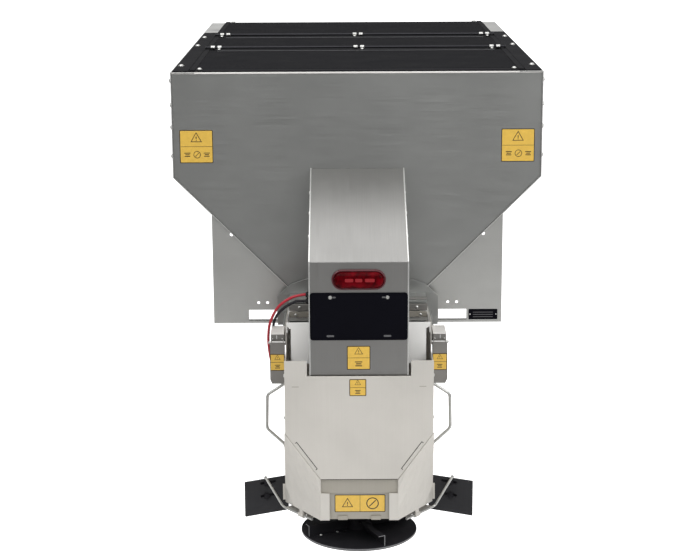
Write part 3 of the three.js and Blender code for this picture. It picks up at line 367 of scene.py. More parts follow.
class Builder:
    """Collects closed shells, then makes one object of them."""

    def __init__(self):
        self.vertices = []
        self.faces = []
        self.slots = []

    def add(self, vertices, faces, slot=0):
        start = len(self.vertices)
        self.vertices += [Vector(v) for v in vertices]
        self.faces += [tuple(start + i for i in face) for face in faces]
        self.slots += [slot] * len(faces)
        return self

    def loft(self, rings, slot=0, closed=False):
        """Skins a stack of equal rings. Closed joins the last to the first, else both ends are capped."""
        count, rows = len(rings[0]), len(rings)
        faces = []
        if not closed:
            faces += [tuple(range(count)), tuple(range((rows - 1) * count, rows * count))[::-1]]
        for row in range(rows if closed else rows - 1):
            here, there = row * count, (row + 1) % rows * count
            for k in range(count):
                n = (k + 1) % count
                faces.append((here + k, there + k, there + n, here + n))
        return self.add([point for ring in rings for point in ring], faces, slot)

    def prism(self, outline, origin, u, v, depth, slot=0):
        """A flat outline in the plane of u and v, carried by the vector depth."""
        ring = [Vector(origin) + u * a + v * b for a, b in outline]
        return self.loft([ring, [point + depth for point in ring]], slot)

    def box(self, low, high, slot=0):
        (x0, y0, z0), (x1, y1, z1) = low, high
        outline = [(x0, y0), (x1, y0), (x1, y1), (x0, y1)]
        return self.prism(outline, (0, 0, z0), X, Y, Z * (z1 - z0), slot)

    def lathe(self, profile, origin, axis, steps=20, slot=0):
        """Turns (radius, height) points round an axis. A radius of 0 closes the shape."""
        axis = Vector(axis).normalized()
        side = axis.orthogonal().normalized()
        other = axis.cross(side)
        vertices, rows = [], []
        for radius, height in profile:
            centre = Vector(origin) + axis * height
            if radius == 0:
                rows.append([len(vertices)] * steps)
                vertices.append(centre)
                continue
            rows.append(list(range(len(vertices), len(vertices) + steps)))
            vertices += circle(centre, side, other, radius, steps)
        faces = []
        closed = profile[0] == profile[-1]
        for a, b in zip(rows, rows[1:]):
            for k in range(steps):
                n = (k + 1) % steps
                corners = tuple(dict.fromkeys((a[k], a[n], b[n], b[k])))
                if len(corners) > 2:
                    faces.append(corners)
        if not closed and profile[0][0] > 0:
            faces.append(tuple(rows[0][::-1]))
        if not closed and profile[-1][0] > 0:
            faces.append(tuple(rows[-1]))
        return self.add(vertices, faces, slot)

    def rod(self, points, radius, steps=14, slot=0):
        """A round bar through points, with square ends."""
        points = [Vector(p) for p in points]
        ahead, back = points[1:] + points[-1:], points[:1] + points[:-1]
        tangents = [(b - a).normalized() for a, b in zip(back, ahead)]
        side = tangents[0].orthogonal().normalized()
        rings = []
        for point, tangent in zip(points, tangents):
            side = (side - tangent * side.dot(tangent)).normalized()
            rings.append(circle(point, side, tangent.cross(side), radius, steps))
        return self.loft(rings, slot)

    def pill(self, place, axis, radius, height, steps=18, slot=0):
        """A short solid cylinder that stands on a place."""
        return self.lathe([(0, 0), (radius, 0), (radius, height), (0, height)], place, axis, steps, slot)

    def bolt(self, place, axis, radius=0.0075, washer=0.0, slot=0):
        """A round-headed bolt, with an optional washer under it."""
        base = 0.0016 if washer else 0.0
        if washer:
            self.pill(place, axis, washer, base, slot=slot)
        rise = radius * 0.62
        dome = [(radius * math.cos(t), base + rise * math.sin(t)) for t in
                (math.pi / 2 * k / 5 for k in range(5))]
        return self.lathe([(0, base), *dome, (0, base + rise)], place, axis, 16, slot)

    def hex_bolt(self, place, axis, radius=0.008, height=0.006, slot=0):
        """A hexagon head on its washer."""
        washer = 0.0015
        self.pill(place, axis, radius * 1.35, washer, slot=slot)
        top = Vector(place) + Vector(axis).normalized() * washer
        profile = [(0, 0), (radius, 0), (radius, height * 0.85), (radius * 0.86, height), (0, height)]
        return self.lathe(profile, top, axis, 6, slot)

    def finish(self, name, body, materials, bevel=0.0, segments=2, smooth=True, angle=35, ride=True):
        mesh = bpy.data.meshes.new(name)
        mesh.from_pydata([v[:] for v in self.vertices], [], self.faces)
        if not isinstance(materials, (list, tuple)):
            materials = [materials]
        for material in materials:
            mesh.materials.append(material)
        mesh.polygons.foreach_set("material_index", self.slots)
        work = bmesh.new()
        work.from_mesh(mesh)
        bmesh.ops.remove_doubles(work, verts=work.verts, dist=1e-7)
        bmesh.ops.recalc_face_normals(work, faces=work.faces)
        work.to_mesh(mesh)
        work.free()
        piece = bpy.data.objects.new(name, mesh)
        bpy.context.scene.collection.objects.link(piece)
        soften(piece, bevel, segments, smooth, angle)
        if ride:
            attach(piece, body)
        return piece


def round_edges(piece, width, segments=2, harden=False):
    modifier = piece.modifiers.new("edges", "BEVEL")
    modifier.width = width
    modifier.segments = segments
    modifier.limit_method = "ANGLE"
    modifier.angle_limit = math.radians(30)
    modifier.harden_normals = harden


def soften(piece, bevel, segments, smooth, angle):
    """Rounds the edges and shades the rest smooth up to an angle."""
    if smooth:
        piece.data.shade_smooth()
        piece.data.set_sharp_from_angle(angle=math.radians(angle))
    if bevel:
        round_edges(piece, bevel, segments, harden=smooth)


def arc(x, y, radius, start, sweep, steps):
    """Points on an arc, with its start and sweep in degrees."""
    angles = [math.radians(start + sweep * k / steps) for k in range(steps + 1)]
    return [(x + radius * math.cos(a), y + radius * math.sin(a)) for a in angles]


def rounded(width, height, radius, steps=5):
    """Outline of a rectangle with round corners, centred on the origin."""
    points = []
    for sx, sy, start in ((1, 1, 0), (-1, 1, 90), (-1, -1, 180), (1, -1, 270)):
        points += arc(sx * (width / 2 - radius), sy * (height / 2 - radius), radius, start, 90, steps)
    return points


def stadium(width, height, steps=14):
    """Outline of a bar with half-round ends, centred on the origin."""
    radius, reach = height / 2, (width - height) / 2
    return arc(reach, 0, radius, -90, 180, steps) + arc(-reach, 0, radius, 90, 180, steps)


def eased(points, bend, steps=6):
    """A polyline with each corner replaced by a curve that starts the bend length before it."""
    points = [Vector(p) for p in points]
    line = [points[0]]
    for before, corner, after in zip(points, points[1:], points[2:]):
        a = corner + (before - corner).normalized() * bend
        b = corner + (after - corner).normalized() * bend
        for k in range(steps + 1):
            t = k / steps
            line.append(a * (1 - t) ** 2 + corner * (2 * t * (1 - t)) + b * t ** 2)
    line.append(points[-1])
    return line


def dress(node, material, bevel=0.0):
    """A CAD node that stays: its material, and a fine bevel on its edges."""
    piece = NODES[node]
    piece.data.materials.clear()
    piece.data.materials.append(material)
    if bevel:
        weld = piece.modifiers.new("weld", "WELD")
        weld.merge_threshold = 0.00001
        round_edges(piece, bevel)


def middle(node):
    low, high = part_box(node)
    return (low + high) / 2


def span(side, near, far):
    """Two distances from the centre plane as x values on one side, the lower one first."""
    return sorted((side * near, side * far))


def mirrored(outline, side):
    return [(side * a, b) for a, b in outline]


# ---------------------------------------------------------------- carried-over sheet parts

def both(*names):
    return [f"{name}_{side}" for name in names for side, _ in SIDES]


DRESSED = (                            # material, edge radius and nodes
    (STEEL, 0.0008, ["hopper_rear_wall", "hopper_front_wall", "auger_trough", "inverted_vee",
                     "hopper_cross_brace", "discharge_plate", "gearbox_plate", "spinner_motor_bracket",
                     *both("hopper_side")]),
    (STEEL, 0.0006, both("hinge_bracket")),
    (GUSSET_STEEL, 0.0008, ["bed_cross_member", *both("frame_rail", "rear_gusset", "front_gusset")]),
    (HOUSING, 0.0012, ["drive_housing"]),
    (CHUTE, 0.0008, ["chute_shell", "chute_front_panel"]),
    (CHUTE, 0.0006, both("chute_wing")),
    # painted light: the hanger cheeks take the brightened cheek copy of the chute steel
    (CHEEK_LIT, 0.0006, both("chute_hanger")),
    # painted shade: the recessed lower plate takes the darker copy of the chute steel
    (CHUTE_SHADED, 0.0008, ["chute_lower_plate"]),
    (LATCH_STEEL, 0.0006, both("latch_bracket")),
    (LID, 0.001, both("cover_strip")),
    (POLY, 0.0012, both("side_plate")),
    (CAST, 0.002, ["auger_front_bearing"]),
)


def dress_nodes():
    for material, bevel, nodes in DRESSED:
        for node in nodes:
            dress(node, material, bevel)


# ---------------------------------------------------------------- places taken from the frame

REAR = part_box("hopper_rear_wall")[0].y
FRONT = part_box("hopper_front_wall")[1].y
HALF_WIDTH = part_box("hopper_side_right")[1].x
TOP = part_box("hopper_side_right")[1].z
LIP_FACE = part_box("hopper_side_right")[0].y
HOUSING_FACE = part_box("drive_housing")[0].y
HOUSING_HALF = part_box("drive_housing")[1].x
PANEL_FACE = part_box("chute_front_panel")[0].y
CHUTE_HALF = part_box("chute_front_panel")[1].x
COVER_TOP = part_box("cover_strip_left")[1].z
BEND = 0.505                           # where the hopper wall turns into the slope
SLOPE = 0.105                          # x - z on the slope's outer face
SHEET = 0.003


def behind(depth):
    """Y of a place this far behind the hopper's rear wall."""
    return REAR - depth


def at(x, depth, z):
    return Vector((x, behind(depth), z))


# ---------------------------------------------------------------- hopper details

def make_hopper_edges():
    """The cut edges of the side sheets, and the rolled hems along the top of the end walls, in bright copies
    of the steel as painted highlights.
    """
    cut = 0.0006
    inner = HALF_WIDTH - SHEET
    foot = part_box("hopper_side_right")[0].z + 0.002
    mitre = SHEET * math.tan(math.radians(22.5))
    section = [
        (SLOPE + foot, foot), (HALF_WIDTH, BEND), (HALF_WIDTH, TOP), (inner, TOP), (inner, BEND + mitre),
        (SLOPE + foot - SHEET * math.sqrt(2), foot),
    ]
    edges = Builder()
    for _, side in SIDES:
        for y in (LIP_FACE - cut, -LIP_FACE):
            edges.prism(mirrored(section, side), (0, y, 0), X, Z, Y * cut)
    edges.finish("hopper_cut_edges", "base", HEM_HIGHLIGHT, smooth=False)
    hems = Builder()
    half = inner - 0.001
    for y in (REAR - 0.0035, FRONT - 0.001):
        hems.box((-half, y, TOP - 0.0050), (half, y + 0.0045, TOP + 0.0003))
    strip_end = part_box("cover_strip_right")[1].y
    for _, side in SIDES:
        x0, x1 = span(side, 0.552, HALF_WIDTH - 0.002)
        hems.box((x0, strip_end + 0.001, TOP), (x1, FRONT - 0.002, TOP + 0.0014), 1)
    hems.finish("hopper_top_hems", "base", [CAP_HIGHLIGHT, HEM_HIGHLIGHT], bevel=0.0012, segments=3)


def make_hopper_bolts():
    """A column of bolts at each corner, and two rows along each side."""
    washer = 0.010
    bolts = Builder()
    for _, side in SIDES:
        for y in (REAR + 0.014, FRONT - 0.014):
            for z in (0.824, 0.744, 0.671, 0.575):
                bolts.bolt((side * HALF_WIDTH, y, z), X * side, 0.008, washer)
        for y in (-0.6, -0.3, 0.0, 0.3, 0.6):
            for z in (0.795, BEND + 0.03):
                bolts.bolt((side * HALF_WIDTH, y, z), X * side, 0.007, washer)
    bolts.finish("hopper_wall_bolts", "base", BOLT)


def side_bolts(name, body, half, places, radius, washer):
    """Bolts through both sides of a part, at (depth, z) places."""
    bolts = Builder()
    for _, side in SIDES:
        for depth, z in places:
            bolts.bolt(at(side * half, depth, z), X * side, radius, washer)
    bolts.finish(name, body, BOLT)


def make_side_ribs():
    """Pressed channel stiffeners under the slope of each side, from the rail to the bend."""
    foot, head, gauge, width = 0.052, 0.4735, 0.003, 0.044
    flank = [(0.262, foot), (0.262, 0.1555), (0.58, head), (0.596, head), (0.31, foot)]
    web = [(0.31, foot), (0.596, head), (0.5995, head), (0.3135, foot)]
    for name, side in SIDES:
        ribs = Builder()
        for y in (-0.46, 0.0, 0.46):
            low = y - width / 2
            for start in (low, low + width - gauge):
                ribs.prism(mirrored(flank, side), (0, start, 0), X, Z, Y * gauge)
            ribs.prism(mirrored(web, side), (0, low, 0), X, Z, Y * width)
        ribs.finish(f"slope_ribs_{name}", "base", GUSSET_STEEL, bevel=0.0006)


def make_weld_beads():
    """Rippled beads where the gussets meet the slope."""
    ripples, run = 22, 0.2
    profile = [(0, -0.0016), (0.0028, -0.001), (0.0034, 0), (0.0028, 0.001), (0, 0.0016)]
    for name, side in SIDES:
        beads = Builder()
        for y in (REAR + 0.0195, -(REAR + 0.0195)):
            start, stop = (Vector((side * x, y, x - SLOPE - 0.0012)) for x in (0.275, 0.482))
            for share in (0.05, 0.38, 0.72):
                a, b = start.lerp(stop, share), start.lerp(stop, share + run)
                for k in range(ripples + 1):
                    beads.lathe(profile, a.lerp(b, k / ripples), b - a, 8)
        beads.finish(f"gusset_welds_{name}", "base", GUSSET_STEEL)


def make_rating_plate():
    """A blank dark data plate on the right gusset, with its rivets."""
    thick = 0.0008
    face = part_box("rear_gusset_right")[0].y
    x, z = 0.4245, 0.0275
    plate = Builder().prism(rounded(0.098, 0.036, 0.003), (x, face, z), X, Z, Y * -thick)
    for offset in (-0.044, 0.044):
        plate.bolt((x + offset, face - thick, z), -Y, 0.0025, slot=1)
    for k in range(3):
        line = z - 0.010 + 0.008 * k
        plate.box((x - 0.034, face - thick - 0.0003, line), (x + 0.034, face - thick, line + 0.0022), 2)
    plate.finish("rating_plate", "base", [PLATE, BOLT, GREY_INK])


# ---------------------------------------------------------------- top covers

def ribbed_sheet(name, body, node, y0, y1):
    """A black cover sheet with shallow ribs along X."""
    low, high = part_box(node)
    half = high.x
    base, top = low.z, low.z + 0.004
    rise, pitch, margin = 0.0022, 0.0275, 0.03
    count = int((y1 - y0 - 2 * margin) / pitch)
    start = (y0 + y1 - count * pitch) / 2
    profile = [(y0, base), (y0, top)]
    for k in range(count):
        y = start + k * pitch
        profile += [(y + 0.005, top), (y + 0.0075, top + rise), (y + 0.020, top + rise), (y + 0.0225, top)]
    profile += [(y1, top), (y1, base)]
    sheet = Builder().prism(profile, (-half, 0, 0), Y, Z, X * 2 * half)
    for side in (-1, 1):
        edge = side * (half - 0.012)
        sheet.box((edge - 0.009, y0 + 0.004, top - 0.001), (edge + 0.009, y1 - 0.004, top + rise + 0.0012))
    piece = sheet.finish(name, body, LID, bevel=0.0007)
    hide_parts(node)


def knuckle(builder, x, rod, side):
    """A hinge eye round the rod, and its leaf with a bright bolt, on the given side of the rod."""
    half, bore, outer, gauge = 0.007, 0.0044, 0.0068, 0.0028
    eye = [(bore, 0), (outer, 0), (outer, 2 * half), (bore, 2 * half), (bore, 0)]
    builder.lathe(eye, (x - half, rod.y, rod.z), X, 24, slot=1)
    top = COVER_TOP + 0.0024
    leaf = [(0.0052, rod.z - 0.0062), (0.0076, rod.z - 0.001), (0.0105, top + gauge), (0.030, top + gauge),
            (0.030, top), (0.0052, top)]
    builder.prism(mirrored(leaf, side), (x - half, rod.y, 0), Y, Z, X * 2 * half)
    builder.bolt((x, rod.y + side * 0.021, top + gauge), Z, 0.0062, slot=1)


def make_lids():
    """The three ribbed cover sheets, with their hinge knuckles and corner bolts."""
    rear_rod, front_rod = middle("rear_lid_hinge_rod"), middle("front_lid_hinge_rod")
    rear_end, front_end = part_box("rear_lid")[0].y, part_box("front_lid")[1].y
    gap, shift, inset = 0.001, 0.024, 0.024
    ribbed_sheet("rear_lid_sheet", "lid_rear", "rear_lid", rear_end, rear_rod.y - gap)
    ribbed_sheet("front_lid_sheet", "lid_front", "front_lid", front_rod.y + gap, front_end)
    ribbed_sheet("centre_cover_sheet", "base", "centre_cover", rear_rod.y + gap, front_rod.y - gap)
    rear, front, fixed = Builder(), Builder(), Builder()
    for place in (-0.519, 0.0, 0.519):
        moving = place - shift if place > 0 else place + shift
        knuckle(rear, moving, rear_rod, -1)
        knuckle(front, moving, front_rod, 1)
        knuckle(fixed, place, rear_rod, 1)
        knuckle(fixed, place, front_rod, -1)
    for _, side in SIDES:
        for hardware, y in ((rear, rear_end + inset), (front, front_end - inset)):
            hardware.bolt((side * 0.516, y, COVER_TOP + 0.0022), Z, 0.0072, washer=0.009, slot=1)
    rear.finish("rear_lid_hardware", "lid_rear", [LID, BOLT])
    front.finish("front_lid_hardware", "lid_front", [LID, BOLT])
    fixed.finish("centre_cover_hardware", "base", [LID, BOLT])


def make_hinge_strips():
    """A raised flat strip along each hinge line, with a thin bead at its rear edge, lighter than the cover as
    a painted highlight along the seam.
    """
    half, base, gauge, gap = 0.5, COVER_TOP + 0.0016, 0.0018, 0.011
    for name, body, rod, width in (("rear_lid_strip", "lid_rear", "rear_lid_hinge_rod", 0.049),
                                   ("centre_cover_strip", "base", "front_lid_hinge_rod", 0.045)):
        high = middle(rod).y - gap
        low = high - width
        strip = Builder().box((-half, low, base), (half, high, base + gauge))
        bead = base + 0.0014
        strip.rod([(-half, low, bead), (half, low, bead)], 0.0013, 10, slot=1)
        strip.finish(name, body, [LID, STRIP_BEAD_HIGHLIGHT], bevel=0.0005)


def make_hinge_rods():
    """Dull rods with a flat head at each end."""
    head, head_thick = 0.0062, 0.003
    for name in ("rear_lid_hinge_rod", "front_lid_hinge_rod"):
        rod, reach = middle(name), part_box(name)[1].x
        bar = Builder().rod([(-reach, rod.y, rod.z), (reach, rod.y, rod.z)], 0.004, 20)
        for side in (-1, 1):
            bar.pill((side * (reach - 0.002), rod.y, rod.z), X * side, head, head_thick, 16)
        piece = bar.finish(f"{name}_bar", "base", HINGE_BAR, bevel=0.0004)
        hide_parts(name)


def make_strip_bolts():
    bolts = Builder()
    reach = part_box("cover_strip_right")[1].x - 0.017
    for _, side in SIDES:
        for y in (-0.77, -0.10, 0.22):
            bolts.bolt((side * reach, y, COVER_TOP), Z, 0.0085, washer=0.0105)
    bolts.finish("cover_strip_bolts", "base", BOLT)


# ---------------------------------------------------------------- screens, auger and motors

def make_screens():
    """Welded square mesh in an edge frame."""
    bar, wire, columns, rows = 0.008, 0.0026, 16, 12
    for name in ("screen_rear", "screen_front"):
        low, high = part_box(name)
        grid = Builder()
        grid.box(low, (low.x + bar, high.y, high.z))
        grid.box((high.x - bar, low.y, low.z), high)
        grid.box((low.x + bar, low.y, low.z), (high.x - bar, low.y + bar, high.z))
        grid.box((low.x + bar, high.y - bar, low.z), (high.x - bar, high.y, high.z))
        z = (low.z + high.z) / 2
        for k in range(1, columns):
            x = low.x + (high.x - low.x) * k / columns
            grid.rod([(x, low.y + bar / 2, z + 0.0006), (x, high.y - bar / 2, z + 0.0006)], wire, 8)
        for k in range(1, rows):
            y = low.y + (high.y - low.y) * k / rows
            grid.rod([(low.x + bar / 2, y, z - 0.0004), (high.x - bar / 2, y, z - 0.0004)], wire, 8)
        piece = grid.finish(f"{name}_mesh", "base", ROD)
        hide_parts(name)


def make_auger_flight():
    """One thin helical band from end to end."""
    low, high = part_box("auger_flight")
    axis_z = (low.z + high.z) / 2
    inner, outer = 0.0238, (high.x - low.x) / 2
    pitch, thick, ease, steps_per_turn = 0.150, 0.005, 0.001, 36
    section = ((inner, 0), (outer, ease), (outer, thick - ease), (inner, thick))
    rings = []
    for step in range(int((high.y - low.y - thick) / pitch * steps_per_turn) + 1):
        angle = 2 * math.pi * step / steps_per_turn
        y = low.y + pitch * step / steps_per_turn
        rings.append([Vector((radius * math.cos(angle), y + lift, axis_z + radius * math.sin(angle)))
                      for radius, lift in section])
    flight = Builder().loft(rings).finish("auger_flight_helix", "auger", WORN)
    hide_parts("auger_flight")


def make_auger_shaft():
    """A round shaft with a chamfer at the rear and a turned-down front end."""
    low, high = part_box("auger_shaft")
    centre = middle("auger_shaft")
    radius, length = (high.x - low.x) / 2, high.y - low.y
    profile = [(0, 0), (radius - 0.002, 0), (radius, 0.002), (radius, length - 0.05),
               (radius - 0.003, length - 0.048), (radius - 0.003, length - 0.001), (0, length)]
    piece = Builder().lathe(profile, (0, low.y, centre.z), Y, 32).finish("auger_shaft_bar", "auger", ROD)
    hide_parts("auger_shaft")


def motor_profile(radius, height):
    """A ribbed case between two plain ends."""
    rib, waist = 0.004, radius - 0.004
    z, crown = 0.014, height - 0.016
    profile = [(0, 0), (radius, 0), (radius, z)]
    while z + 2.6 * rib < height - 0.02:
        profile += [(waist, z), (waist, z + rib), (radius, z + rib), (radius, z + 2 * rib)]
        z += 2 * rib
    return profile + [(waist, z), (waist, crown), (radius, crown), (radius, height - 0.004),
                      (radius - 0.006, height), (0, height)]


def make_motor(node, body, bolt_reach, bolt_angles, bore=None):
    """A ribbed motor with bolts on its end. A bore is the (radius, depth) of a shaft hole in its foot."""
    low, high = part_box(node)
    centre = middle(node)
    profile = motor_profile((high.x - low.x) / 2, high.z - low.z)
    if bore:
        radius, depth = bore
        profile = [(0, depth), (radius, depth), (radius, 0)] + profile[1:]
    case = Builder().lathe(profile, (centre.x, centre.y, low.z), Z, 40)
    for degrees in bolt_angles:
        angle = math.radians(degrees)
        place = (centre.x + bolt_reach * math.cos(angle), centre.y + bolt_reach * math.sin(angle), high.z)
        case.hex_bolt(place, Z, 0.005, 0.004, slot=1)
    piece = case.finish(f"{node}_case", body, [CAST, BOLT], bevel=0.0004)
    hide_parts(node)


def make_gearbox():
    """A cast case with five ribs and a bolted front flange."""
    low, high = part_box("auger_gearbox")
    centre = middle("auger_gearbox")
    skin, flange, rib, ribs, bolt_offset = 0.006, 0.014, 0.006, 5, 0.055
    case = Builder()
    case.box(low + Vector((skin, 0.004, skin)), high - Vector((skin, flange, skin)))
    case.box((low.x, high.y - flange, low.z), high)
    for k in range(ribs):
        x = low.x + 0.012 + k * (high.x - low.x - 0.03) / (ribs - 1)
        case.box((x, low.y, low.z + 0.004), (x + rib, high.y - 0.012, high.z - 0.003))
    for sx, sz in CORNERS:
        place = (centre.x + sx * bolt_offset, high.y, centre.z + sz * bolt_offset)
        case.hex_bolt(place, Y, 0.006, 0.005, slot=1)
    piece = case.finish("auger_gearbox_case", "base", [CAST, BOLT], bevel=0.0012)
    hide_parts("auger_gearbox")


def make_bearing_bolts():
    """Four flange bolts and the grease nipple of the front bearing."""
    low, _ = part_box("auger_front_bearing")
    centre = middle("auger_front_bearing")
    offset = 0.042
    bolts = Builder()
    for sx, sz in CORNERS:
        place = (centre.x + sx * offset, low.y + 0.012, centre.z + sz * offset)
        bolts.hex_bolt(place, Y, 0.0085, 0.007)
    nipple = [(0, 0), (0.003, 0), (0.003, 0.006), (0.0018, 0.007), (0.0026, 0.010), (0, 0.012)]
    bolts.lathe(nipple, (centre.x, low.y + 0.022, centre.z + 0.0375), Z, 12)
    bolts.finish("front_bearing_bolts", "base", BOLT)


# ---------------------------------------------------------------- drive housing

def make_housing_hems():
    """Folded edges down both sides of the slope and the rear face, in the bright hem copy of the steel as a
    painted highlight.
    """
    brow, rise, width, proud = 0.319, 0.0016, 0.0042, 0.0006
    foot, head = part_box("drive_housing")[0].z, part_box("drive_housing")[1].z
    reach = REAR - HOUSING_FACE
    lift = rise * math.hypot(1, (head - brow) / (reach - 0.001))
    outline = [
        (behind(0.001), head), (behind(0.001), head + lift), (behind(reach + rise), brow + lift * 0.6),
        (behind(reach + rise), foot - proud), (behind(reach), foot - proud), (behind(reach), brow),
    ]
    for name, side in SIDES:
        x, _ = span(side, HOUSING_HALF + proud - width, HOUSING_HALF + proud)
        hem = Builder().prism(outline, (x, 0, 0), Y, Z, X * width)
        hem.finish(f"housing_hem_{name}", "base", HEM_HIGHLIGHT, bevel=0.0006)


def make_housing_bolts():
    places = ((0.05, 0.461), (0.16, 0.415), (0.27, 0.362), (0.06, 0.27), (0.06, 0.06))
    side_bolts("housing_side_bolts", "base", HOUSING_HALF, places, 0.006, 0.008)


def standing(outline, centre, out):
    """An outline's points on an upright plane, this far to the rear of a centre."""
    return [centre + X * x + Z * z - Y * out for x, z in outline]


def make_tail_lamp():
    """Oval lamp: a red lens with a raised optic field, in a dark red flange."""
    base = middle("tail_light_lens")
    base.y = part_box("tail_light_lens")[1].y
    width, height = 0.154, 0.050
    steps = ((0, 0.0), (0, 0.009), (0.0012, 0.012), (0.004, 0.0145), (0.009, 0.0162), (0.016, 0.0170))
    rings = [standing(stadium(width - 2 * inset, height - 2 * inset), base, out) for inset, out in steps]
    lens = Builder().loft(rings)
    for x, block in ((-0.030, 0.026), (0.0, 0.022), (0.034, 0.030)):
        place = base + Vector((x, -0.0166, 0.001))
        lens.prism(rounded(block, 0.011, 0.003), place, X, Z, Y * -0.0008, 1)
    piece = lens.finish("tail_lamp_lens", "base", [LENS, LENS_DARK], angle=50)
    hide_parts("tail_light_lens")
    width, height = 0.1684, 0.0644
    steps = ((0.0, 0.0), (0.0, 0.0035), (0.0018, 0.0062), (0.0042, 0.0068), (0.0066, 0.0052), (0.0068, 0.0))
    rings = [standing(stadium(width - 2 * inset, height - 2 * inset), base, out) for inset, out in steps]
    piece = Builder().loft(rings, closed=True).finish("tail_lamp_ring", "base", LENS_RIM, angle=60)
    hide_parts("tail_light_grommet")


def make_number_plate():
    """A blank black plate with an embossed edge, two bolts and four spare slots."""
    low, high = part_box("number_plate")
    centre = middle("number_plate")
    centre.y = high.y
    width, height = high.x - low.x, high.z - low.z
    thick, emboss = 0.0012, 0.0009
    plate = Builder().prism(rounded(width, height, 0.010, 8), centre, X, Z, Y * -thick)
    rim = rounded(width - 0.008, height - 0.008, 0.008, 8)
    inner = rounded(width - 0.0125, height - 0.0125, 0.006, 8)
    levels = ((rim, thick), (rim, thick + emboss), (inner, thick + emboss), (inner, thick))
    plate.loft([standing(outline, centre, out) for outline, out in levels], closed=True)
    for _, side in SIDES:
        bolt, spare, lower = (centre + Vector((side * x, -thick, z)) for x, z in
                              ((0.089, 0.0615), (0.077, 0.0615), (0.089, -0.0625)))
        plate.hex_bolt(bolt, -Y, 0.0042, 0.003, slot=1)
        plate.prism(stadium(0.011, 0.005, 6), spare, X, Z, Y * -0.0005, 2)
        plate.prism(stadium(0.024, 0.006, 6), lower, X, Z, Y * -0.0006, 2)
    piece = plate.finish("number_plate_blank", "base", [PLATE, BOLT, GREY_INK], bevel=0.0003)
    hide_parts("number_plate")


# ---------------------------------------------------------------- stickers

def shifted(outline, x, z):
    return [(a + x, b + z) for a, b in outline]


def triangle_sign(size):
    """A hollow triangle round a plain bar and dot."""
    inset, across, down = 0.80, 1.5, 0.24
    tips = [(size * math.cos(a), size * math.sin(a)) for a in (math.radians(90 + 120 * k) for k in range(3))]
    shapes = []
    for (ax, az), (bx, bz) in zip(tips, tips[1:] + tips[:1]):
        shapes.append([(ax, az), (bx, bz), (bx * inset, bz * inset), (ax * inset, az * inset)])
    bar = [(-0.05, 0.32), (0.05, 0.32), (0.035, -0.08), (-0.035, -0.08)]
    shapes.append([(a * size * across, b * size) for a, b in bar])
    shapes.append(shifted(rounded(size * 0.14, size * 0.14, size * 0.06, 3), 0, -size * down))
    return shapes


def bars_sign(size):
    """Three bars of different lengths, like lines of print."""
    shapes = []
    for k, share in enumerate((1.0, 0.72, 0.9)):
        bar = rounded(size * 1.7 * share, size * 0.22, size * 0.1, 3)
        shapes.append(shifted(bar, 0, size * (0.45 - 0.45 * k)))
    return shapes


def slash_sign(size):
    """The slanting stroke of the ring sign, at 45 degrees."""
    diagonal = math.sqrt(0.5)
    stroke = rounded(size * 1.5, size * 0.16, size * 0.07, 3)
    return [[((a - b) * diagonal, (a + b) * diagonal) for a, b in stroke]]


STROKE = 0.0012
SIGNS = {
    "triangle": triangle_sign,
    "bars": bars_sign,
    "ring": slash_sign,
    "split": lambda size: [rounded(STROKE, size, 0.0005, 2)],
    "across": lambda size: [rounded(size, STROKE, 0.0005, 2)],
}


def sticker(name, body, centre, width, height, cells):
    """A yellow safety sticker with a black edge. Each cell is (x, z, size, sign) from the centre."""
    sheet, film, border, radius = 0.0003, 0.00015, 0.0048, 0.003
    mark = Builder().prism(rounded(width, height, radius), centre, X, Z, Y * -sheet, 1)
    field = rounded(width - border, height - border, radius * 0.6)
    mark.prism(field, centre - Y * sheet, X, Z, Y * -film)
    for x, z, size, sign in cells:
        place = centre + Vector((x, -sheet - film, z))
        for shape in SIGNS[sign](size):
            mark.prism(shape, place, X, Z, Y * -film, 1)
        if sign == "ring":
            ring = [(size, 0), (size, film), (size * 0.84, film), (size * 0.84, 0), (size, 0)]
            mark.lathe(ring, place, -Y, 28, 1)
    mark.finish(name, body, [YELLOW, INK], smooth=False)


def make_stickers():
    """Two large stickers, one on the housing, and four on the chute and its latches."""
    lift = 0.0001
    upright_cells = [(0, 0.026, 0.022, "triangle"), (0, 0, 0.104, "across"), (-0.030, -0.027, 0.012, "bars"),
                     (0.002, -0.027, 0.012, "ring"), (0.034, -0.027, 0.012, "bars")]
    pair = [(0, 0.0195, 0.0155, "triangle"), (0, 0, 0.07, "across"), (0, -0.0195, 0.014, "bars")]
    small = [(0, 0.0145, 0.0115, "triangle"), (0, 0, 0.05, "across"), (0, -0.014, 0.0105, "bars")]
    wide = [(-0.040, -0.002, 0.021, "triangle"), (0, 0, 0.056, "split"), (0.040, 0, 0.020, "ring")]
    for name, side in SIDES:
        place = Vector((side * 0.5305, REAR - lift, 0.6085))
        sticker(f"hopper_sticker_{name}", "base", place, 0.110, 0.110, upright_cells)
        lever = f"latch_lever_{name}"
        place = Vector((middle(lever).x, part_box(lever)[0].y - lift, -0.045))
        sticker(f"latch_sticker_{name}", f"latch_{name}", place, 0.0475, 0.056, small)
    sticker("housing_sticker", "base", Vector((-0.001, HOUSING_FACE - lift, 0.0115)), 0.073, 0.077, pair)
    sticker("panel_sticker", "chute", Vector((-0.004, PANEL_FACE - lift, -0.083)), 0.053, 0.055, small)
    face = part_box("chute_lower_plate")[0].y
    sticker("lower_sticker", "chute", Vector((0.002, face - lift, -0.4735)), 0.162, 0.059, wide)


# ---------------------------------------------------------------- chute

